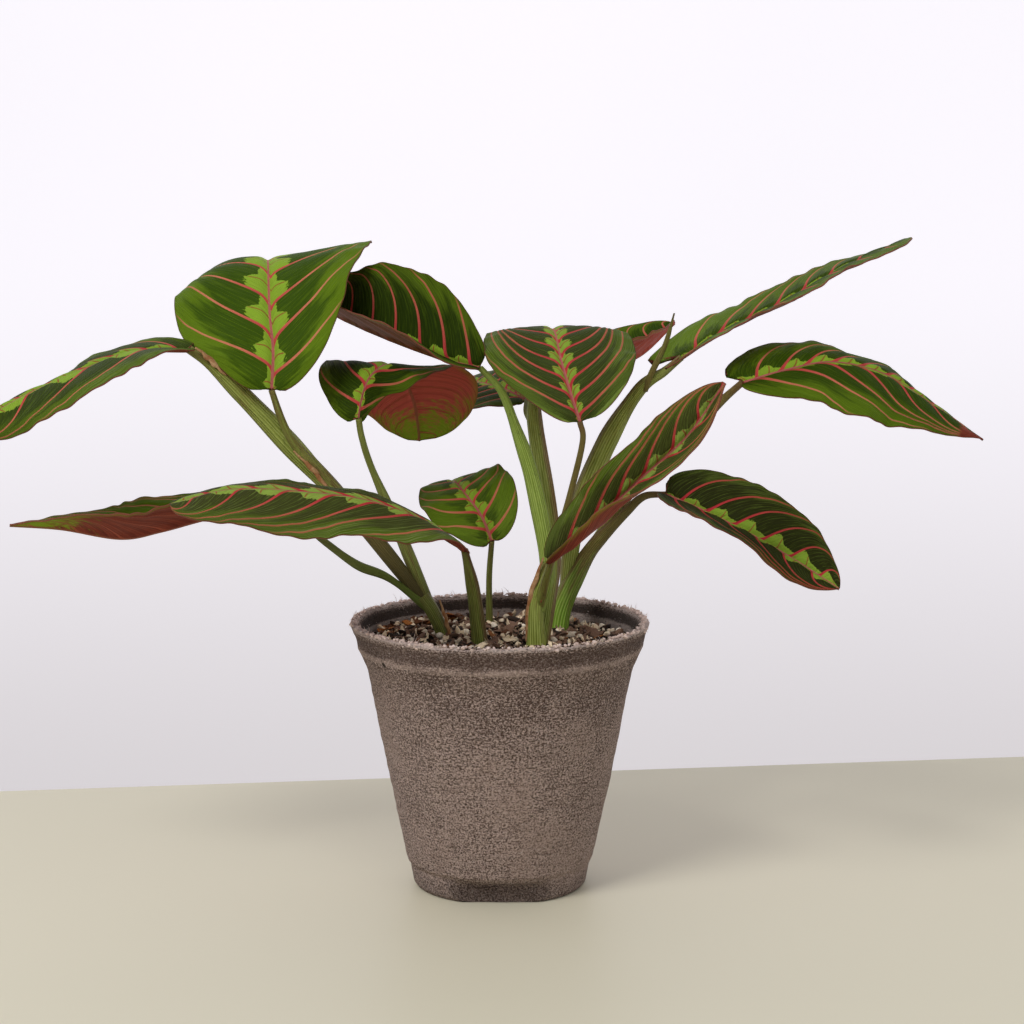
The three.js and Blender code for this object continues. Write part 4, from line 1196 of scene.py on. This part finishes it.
def litter(draw):
    points, faces = lump(draw, draw.uniform(0.9, 2.2), 0.16, 4, 7)
    points[:, 0] *= draw.uniform(1.2, 2.6)
    return tumbled(draw, points, 0.5), faces


def simple_finish(name, first, second, scale, roughness, pieces=0.0):
    """Two colours mottled together; pieces is how much whole bodies differ from one another."""
    finish = Finish(name, roughness, 0.2)
    place = finish.object_point()
    noise = finish.noise(place, scale, 4.0, 0.6)
    fine = finish.noise(place, scale * 5, 3.0)
    share = noise
    if pieces:
        tone = finish.attribute("piece_tone")[0]
        share = noise + (tone - 0.5) * pieces
    body = finish.mix(first, second, share.step(0.35, 0.65))
    finish.colour(finish.mix(body, tuple(c * 0.45 for c in first), fine.step(0.55, 0.75) * 0.6))
    finish.bump(noise + fine * 0.5, 0.0006, 0.8)
    return finish.material


def on_lip(body, turn, r, below):
    """A small body moved to its place round the lip, a little below the pot's height."""
    return body + np.array([r * math.cos(turn), r * math.sin(turn), POT_HEIGHT - below])


def add_lip_piece(name, bodies, pot, scale, smooth):
    """Pale bits of pulp along the lip, in one object with a finish of its own."""
    pale = simple_finish(name, pot.fleck_pale, pot.fibre_pale_and_highlight, scale, 0.95)
    made = add_object(name, *fused(bodies), [pale], smooth=smooth)


# Settings

def colour_property(name, description, default):
    return bpy.props.FloatVectorProperty(name=name, description=description, subtype="COLOR", size=3,
                                         min=0, max=1, default=default)


class PlantLeafSettings(bpy.types.PropertyGroup):
    rows: bpy.props.IntProperty(name="Rows", description="Mesh rows from base to tip", default=110, min=20)
    columns: bpy.props.IntProperty(name="Columns", description="Mesh columns over each half",
                                   default=37, min=8)
    thickness: bpy.props.FloatProperty(name="Thickness", description="Blade thickness in millimetres",
                                       default=0.45, min=0.2, max=1)
    gloss: bpy.props.FloatProperty(name="Roughness", description="Roughness of the upper side",
                                   default=0.5, min=0, max=1)
    green: colour_property("Green", "Outer green of a dark blade", (0.04, 0.055, 0.006))
    bright_green: colour_property("Bright green", "Outer green of a bright blade", (0.1, 0.17, 0.006))
    pale_green: colour_property("Pale green", "Fine streaks", (0.16, 0.26, 0.014))
    grey_green: colour_property("Grey green", "Fine streaks of a browner blade", (0.29, 0.34, 0.11))
    dark_green: colour_property("Dark green", "Blotches of a dark blade", (0.012, 0.016, 0.003))
    deep_green: colour_property("Deep green", "Blotches of a bright blade", (0.02, 0.05, 0.002))
    deep_olive: colour_property("Deep olive", "Brownish blotches of a dark blade", (0.03, 0.028, 0.006))
    olive: colour_property("Olive", "Brownish blotches of a bright blade", (0.06, 0.056, 0.02))
    lime: colour_property("Lime", "Band along the midrib", (0.21, 0.37, 0.018))
    pale_lime: colour_property("Pale lime", "Lighter parts of the band", (0.3, 0.43, 0.045))
    vein: colour_property("Vein", "Side veins near the midrib", (0.5, 0.036, 0.045))
    outer_vein: colour_property("Outer vein", "Side veins near the margin", (0.64, 0.2, 0.11))
    bright_vein: colour_property("Bright vein", "Veins of a bright blade", (0.72, 0.24, 0.14))
    short_vein: colour_property("Short vein", "Thin veins inside the lobes", (0.3, 0.04, 0.03))
    rib: colour_property("Midrib", "Midrib above", (0.5, 0.14, 0.12))
    margin: colour_property("Margin", "Thin line along the edge", (0.13, 0.05, 0.025))
    dry: colour_property("Dry edge", "Dried patches", (0.45, 0.26, 0.09))
    under: colour_property("Underside", "Underside burgundy", (0.27, 0.055, 0.03))
    under_deep: colour_property("Deep underside", "Darker burgundy", (0.12, 0.022, 0.015))
    # Painted light on the underside of a brightly lit blade.
    under_painted_light: colour_property("Bright underside", "Burgundy of a lit young leaf", (0.58, 0.105, 0.08))
    under_olive: colour_property("Olive underside", "Underside of an old leaf", (0.2, 0.125, 0.045))
    under_green: colour_property("Green underside", "Green parts of the underside", (0.21, 0.31, 0.012))
    under_vein: colour_property("Underside vein", "Veins beneath", (0.4, 0.09, 0.05))
    under_rib: colour_property("Underside midrib", "Midrib beneath", (0.27, 0.09, 0.05))


class PlantStalkSettings(bpy.types.PropertyGroup):
    sides: bpy.props.IntProperty(name="Sides", description="Faces round a stalk", default=36, min=8)
    rings_per_mm: bpy.props.FloatProperty(name="Rings per mm", description="Mesh rings along a stalk",
                                          default=1.4, min=0.2)
    stalk_green: colour_property("Green", "Fresh stalk", (0.21, 0.26, 0.03))
    stalk_pale: colour_property("Pale green", "Lighter ribs", (0.35, 0.41, 0.08))
    stalk_ridge_highlight: colour_property("Ridges", "Pale tops of the ribs", (0.5, 0.52, 0.2))
    # Painted highlight on the tops of the ribs.
    stalk_brown: colour_property("Brown", "Weathered, olive-brown skin", (0.21, 0.145, 0.04))
    stalk_knee: colour_property("Knee", "Knee below a blade", (0.2, 0.1, 0.045))
    # Dark specks, and painted shade in the rib grooves and on shaded stalks.
    stalk_specks_and_shade: colour_property("Specks", "Dark specks and grooves", (0.035, 0.03, 0.012))
    stalk_fresh: colour_property("Fresh", "Vivid young sheath", (0.2, 0.42, 0.02))
    stalk_maroon: colour_property("Maroon", "Flush down one side", (0.19, 0.06, 0.035))
    sheath: colour_property("Dry sheath", "Papery sheath ends", (0.3, 0.125, 0.045))
    sheath_pale: colour_property("Pale sheath", "Bleached parts of the dry sheaths", (0.5, 0.3, 0.15))


class PlantPotSettings(bpy.types.PropertyGroup):
    rows: bpy.props.IntProperty(name="Rows", description="Mesh rows along the profile", default=190, min=40)
    columns: bpy.props.IntProperty(name="Columns", description="Mesh columns round the pot",
                                   default=500, min=48)
    fuzz_count: bpy.props.IntProperty(name="Loose fibres", description="Short loose fibres on the lip",
                                      default=900)
    crumb_count: bpy.props.IntProperty(name="Crumbs", description="Loose crumbs along the lip", default=520)
    fibre: colour_property("Fibre", "Body of the pressed fibre", (0.24, 0.17, 0.143))
    # Lighter pulp, and the painted highlight on the ridge under the lip.
    fibre_pale_and_highlight: colour_property("Pale fibre", "Lighter pulp", (0.64, 0.485, 0.42))
    fibre_warm: colour_property("Warm fibre", "Warmer patches", (0.31, 0.212, 0.168))
    # Darker pulp, and painted shade in the hollows and in the groove under the lip.
    fibre_deep_and_shade: colour_property("Deep fibre", "Darker pulp and hollows", (0.08, 0.047, 0.036))
    # Painted shade inside the pot, low on its foot and on the flat panels.
    fibre_shade: colour_property("Shaded fibre", "Inside of the pot and its foot", (0.036, 0.024, 0.018))
    # Dark strands, and painted shade in the pits.
    fleck_dark_and_shade: colour_property("Dark fleck", "Dark strands", (0.04, 0.03, 0.025))
    fleck_pale: colour_property("Pale fleck", "Cream strands", (0.78, 0.63, 0.57))


class PlantMixSettings(bpy.types.PropertyGroup):
    rings: bpy.props.IntProperty(name="Rings", description="Mesh rings of the ground", default=110, min=10)
    columns: bpy.props.IntProperty(name="Columns", description="Mesh columns of the ground",
                                   default=240, min=24)
    bark_count: bpy.props.IntProperty(name="Bark", description="Bark chips", default=620, min=0)
    perlite_count: bpy.props.IntProperty(name="Perlite", description="White grains", default=230, min=0)
    flake_count: bpy.props.IntProperty(name="Flakes", description="Pale curled flakes", default=430, min=0)
    coir_count: bpy.props.IntProperty(name="Coir", description="Orange-brown fibres", default=620, min=0)
    ground: colour_property("Ground", "Fine dark mix", (0.02, 0.012, 0.008))
    bark: colour_property("Bark", "Bark chips", (0.03, 0.017, 0.011))
    bark_pale: colour_property("Pale bark", "Lighter bark", (0.2, 0.115, 0.075))
    perlite: colour_property("Perlite", "White grains", (1.0, 0.89, 0.72))
    flake: colour_property("Flake", "Pale curled flakes", (0.95, 0.76, 0.52))
    coir: colour_property("Coir", "Coir fibres", (0.33, 0.12, 0.03))
    coir_deep: colour_property("Dark coir", "Darker coir fibres", (0.1, 0.035, 0.012))


class PlantStageSettings(bpy.types.PropertyGroup):
    lens: bpy.props.FloatProperty(name="Lens", description="Focal length for a 36 mm frame", default=89.7)
    distance: bpy.props.FloatProperty(name="Distance", description="Camera to the pot's axis", default=0.9,
                                      subtype="DISTANCE", unit="LENGTH")
    height: bpy.props.FloatProperty(name="Height", description="Camera height over the table", default=0.268,
                                    subtype="DISTANCE", unit="LENGTH")
    aside: bpy.props.FloatProperty(name="Aside", description="Camera offset to the right", default=0.0044,
                                   subtype="DISTANCE", unit="LENGTH")
    down: bpy.props.FloatProperty(name="Down", description="Camera pitch below level",
                                  default=math.radians(8.37), subtype="ANGLE", unit="ROTATION")
    edge: bpy.props.FloatProperty(name="Table edge", description="Table's far edge behind the pot's axis",
                                  default=0.156, subtype="DISTANCE", unit="LENGTH")
    edge_turn: bpy.props.FloatProperty(name="Edge turn", description="How far the table's edge is turned",
                                       default=math.radians(7.8), subtype="ANGLE", unit="ROTATION")
    wall_back: bpy.props.FloatProperty(name="Wall", description="Backdrop behind the pot's axis", default=1.8,
                                       subtype="DISTANCE", unit="LENGTH")
    table: colour_property("Table", "Pale floor", (0.74, 0.69, 0.53))
    wall: colour_property("Wall", "Pale backdrop", (0.86, 0.83, 0.87))
    # Painted shade: the backdrop darkens towards the table.
    wall_low_shade: colour_property("Wall below", "Backdrop near the table", (0.6, 0.57, 0.58))


# Operators

class PlantPiece:
    """Shared by the operators: each makes its pieces once and finishes."""
    bl_options = {"REGISTER", "UNDO"}


class PLANT_OT_stage(PlantPiece, bpy.types.Operator):
    """Make the camera, the pale floor, the backdrop and the soft lights"""
    bl_idname = "plant.stage"
    bl_label = "Stage"

    def execute(self, context):
        stage = context.scene.plant_stage
        data = bpy.data.cameras.new("view")
        data.lens = stage.lens
        data.sensor_width = 36
        data.clip_end = 20
        camera = bpy.data.objects.new("view", data)
        camera.location = (stage.aside, -stage.distance, stage.height)
        camera.rotation_euler = (math.pi / 2 - stage.down, 0, 0)
        context.scene.collection.objects.link(camera)
        context.scene.camera = camera
        context.scene.view_settings.view_transform = "Standard"
        self.floor(context, stage)
        self.lights(context)
        return {"FINISHED"}

    def floor(self, context, stage):
        half, near, low, high = 4.0, -3.0, -1.5, 3.0
        turn = math.tan(stage.edge_turn)
        back_left, back_right = stage.edge - half * turn, stage.edge + half * turn
        table = [(-half, near, 0), (half, near, 0), (half, back_right, 0), (-half, back_left, 0)]
        wall = [(-half, stage.wall_back, low), (half, stage.wall_back, low), (half, stage.wall_back, high),
                (-half, stage.wall_back, high)]
        for name, points, colour, rough, painted_glow in (("table", table, stage.table, 0.5, 0.0),
                                                  ("wall", wall, stage.wall, 0.9, 0.62)):
            mesh = bpy.data.meshes.new(name)
            mesh.from_pydata(points, [], [(0, 1, 2, 3)])
            finish = Finish("stage_" + name, rough, 0.3)
            noise = finish.noise(finish.object_point(), 1.5, 2.0)
            tint = finish.mix(colour, tuple(c * 0.95 for c in colour), noise)
            # The backdrop glows as painted light, and is painted darker towards the table as shade.
            if painted_glow:
                height = finish.split(finish.object_point())[2]
                tint = finish.mix(stage.wall_low_shade, tint, height.step(-0.5, 0.16))
                finish.tree.links.new(tint, finish.shader.inputs["Emission Color"])
                finish.shader.inputs["Emission Strength"].default_value = painted_glow
            finish.colour(tint)
            mesh.materials.append(finish.material)
            plane = bpy.data.objects.new(name, mesh)
            context.scene.collection.objects.link(plane)

    def lights(self, context):
        world = bpy.data.worlds.new("studio")
        world.use_nodes = True
        background = world.node_tree.nodes["Background"]
        background.inputs["Color"].default_value = (0.95, 0.96, 1.0, 1)
        background.inputs["Strength"].default_value = 0.42
        context.scene.world = world
        for name, place, size, power in (("key", (-0.75, -1.0, 1.4), 0.6, 15),
                                         ("fill", (1.2, -1.3, 0.9), 1.2, 4)):
            data = bpy.data.lights.new(name, "AREA")
            data.size = size
            data.energy = power
            lamp = bpy.data.objects.new(name, data)
            lamp.location = place
            aim = -np.array(place) + np.array([0, 0, 0.13])
            lamp.rotation_euler = (math.atan2(math.hypot(aim[0], aim[1]), -aim[2]), 0,
                                   math.atan2(aim[1], aim[0]) - math.pi / 2)
            context.scene.collection.objects.link(lamp)


class PLANT_OT_leaves(PlantPiece, bpy.types.Operator):
    """Make the fourteen open leaves, with veins, quilted blades and burgundy undersides"""
    bl_idname = "plant.leaves"
    bl_label = "Leaves"

    def execute(self, context):
        look = context.scene.plant_leaf
        materials = [leaf_upper(look), leaf_under(look), leaf_edge(look)]
        for name, leaf in LEAVES.items():
            build_leaf(name, leaf, look.rows, look.columns, look.thickness, materials)
        return {"FINISHED"}


class PLANT_OT_stalks(PlantPiece, bpy.types.Operator):
    """Make the shoots' ribbed stalks and the young rolled leaf"""
    bl_idname = "plant.stalks"
    bl_label = "Stalks"

    def execute(self, context):
        look = context.scene.plant_stalk
        material = stalk_finish(look)
        for name, stalks in SHOOTS.items():
            build_stalks(name, stalks, look, material)
        rolled = build_stalks("leaf_rolled", [ROLLED_LEAF], look, material)
        build_strips(look)
        return {"FINISHED"}


class PLANT_OT_pot(PlantPiece, bpy.types.Operator):
    """Make the pressed-fibre pot and the loose fibres along its lip"""
    bl_idname = "plant.pot"
    bl_label = "Pot"

    def execute(self, context):
        pot = context.scene.plant_pot
        material = pot_finish(pot)
        build_pot(pot, material)
        self.fuzz(pot)
        self.crumbs(pot)
        return {"FINISHED"}

    def fuzz(self, pot):
        """Loose fibres all round the lip, and longer ones in tufts."""
        draw = random.Random(SEEDS["lip_fibres"])
        bodies = []
        for _ in range(pot.fuzz_count):
            turn = draw.uniform(0, TAU)
            r = draw.uniform(51.0, RIM_RADIUS)
            body, faces = strand(draw, draw.uniform(0.8, 2.6), draw.uniform(0.07, 0.16), 2.6)
            bodies.append((on_lip(body, turn, r, 0.5), faces))
        for centre in LIP_TUFTS:
            for _ in range(TUFT_STRANDS):
                body, faces = strand(draw, draw.uniform(2.0, 4.4), draw.uniform(0.09, 0.2), 3.4)
                turn = math.radians(centre + draw.gauss(0, 1.3))
                r = draw.uniform(51.4, RIM_RADIUS - 0.4)
                bodies.append((on_lip(body, turn, r, 0.5), faces))
        add_lip_piece("lip_fibres", bodies, pot, 900.0, True)

    def crumbs(self, pot):
        """Ragged bits of pulp that stand up along the lip, some hanging on its outer side."""
        draw = random.Random(SEEDS["lip_crumbs"])
        bodies = []
        for _ in range(pot.crumb_count):
            turn = draw.uniform(0, TAU)
            r = draw.uniform(50.9, RIM_RADIUS)
            body, faces = lump(draw, draw.uniform(0.3, 0.85) * draw.uniform(0.6, 1.2), 0.8, 4, 6)
            drop = 1.6 * draw.random() ** 2 if r > 52.6 else 0.0
            bodies.append((on_lip(body, turn, r, 0.2 + drop), faces))
        add_lip_piece("lip_crumbs", bodies, pot, 500.0, False)


class PLANT_OT_mix(PlantPiece, bpy.types.Operator):
    """Make the potting mix: ground, bark chips, perlite grains and coir fibres"""
    bl_idname = "plant.mix"
    bl_label = "Potting mix"

    def execute(self, context):
        mix = context.scene.plant_mix
        ground = simple_finish("mix_ground", mix.ground, mix.bark, 420.0, 1.0)
        bark = simple_finish("bark", mix.bark, mix.bark_pale, 420.0, 0.9, pieces=0.9)
        perlite = simple_finish("perlite", mix.perlite, (0.78, 0.65, 0.48), 500.0, 0.8, pieces=0.5)
        flake = simple_finish("flake", mix.flake, mix.bark_pale, 300.0, 0.8, pieces=0.8)
        coir = simple_finish("coir", mix.coir, mix.coir_deep, 300.0, 0.9, pieces=0.8)
        build_ground(mix, ground)
        scatter("bark_chips", mix.bark_count, chip, 46.0, bark, smooth=False)
        scatter("perlite_grains", mix.perlite_count, grain, 46.5, perlite, lift=(0.3, 1.3))
        scatter("pale_flakes", mix.flake_count, curled_flake, 45.5, flake, lift=(0.6, 1.6))
        scatter("coir_fibres", mix.coir_count, coir_fibre, 45.5, coir, mostly_left_edge, (-0.6, 0.9))
        scatter("coir_litter", mix.coir_count // 3, litter, 46.0, coir, mostly_left_edge, (0.4, 1.6), False)
        return {"FINISHED"}


class PLANT_PT_panel(bpy.types.Panel):
    """Lists the plant's pieces"""
    bl_idname = "PLANT_PT_panel"
    bl_label = "Prayer plant"
    bl_space_type = "VIEW_3D"
    bl_region_type = "UI"
    bl_category = "Prayer plant"

    def draw(self, context):
        for operator in OPERATORS:
            self.layout.operator(operator.bl_idname)


OPERATORS = (PLANT_OT_stage, PLANT_OT_pot, PLANT_OT_mix, PLANT_OT_stalks, PLANT_OT_leaves)
SETTINGS = {
    "plant_leaf": PlantLeafSettings,
    "plant_stalk": PlantStalkSettings,
    "plant_pot": PlantPotSettings,
    "plant_mix": PlantMixSettings,
    "plant_stage": PlantStageSettings,
}


def register():
    for name, group in SETTINGS.items():
        bpy.utils.register_class(group)
        setattr(bpy.types.Scene, name, bpy.props.PointerProperty(type=group))
    for operator in (*OPERATORS, PLANT_PT_panel):
        bpy.utils.register_class(operator)


def unregister():
    for operator in reversed((*OPERATORS, PLANT_PT_panel)):
        bpy.utils.unregister_class(operator)
    for name, group in SETTINGS.items():
        delattr(bpy.types.Scene, name)
        bpy.utils.unregister_class(group)


def main():
    register()
    bpy.ops.plant.stage()
    bpy.ops.plant.pot()
    bpy.ops.plant.mix()
    bpy.ops.plant.stalks()
    bpy.ops.plant.leaves()


if __name__ == "__main__":
    main()
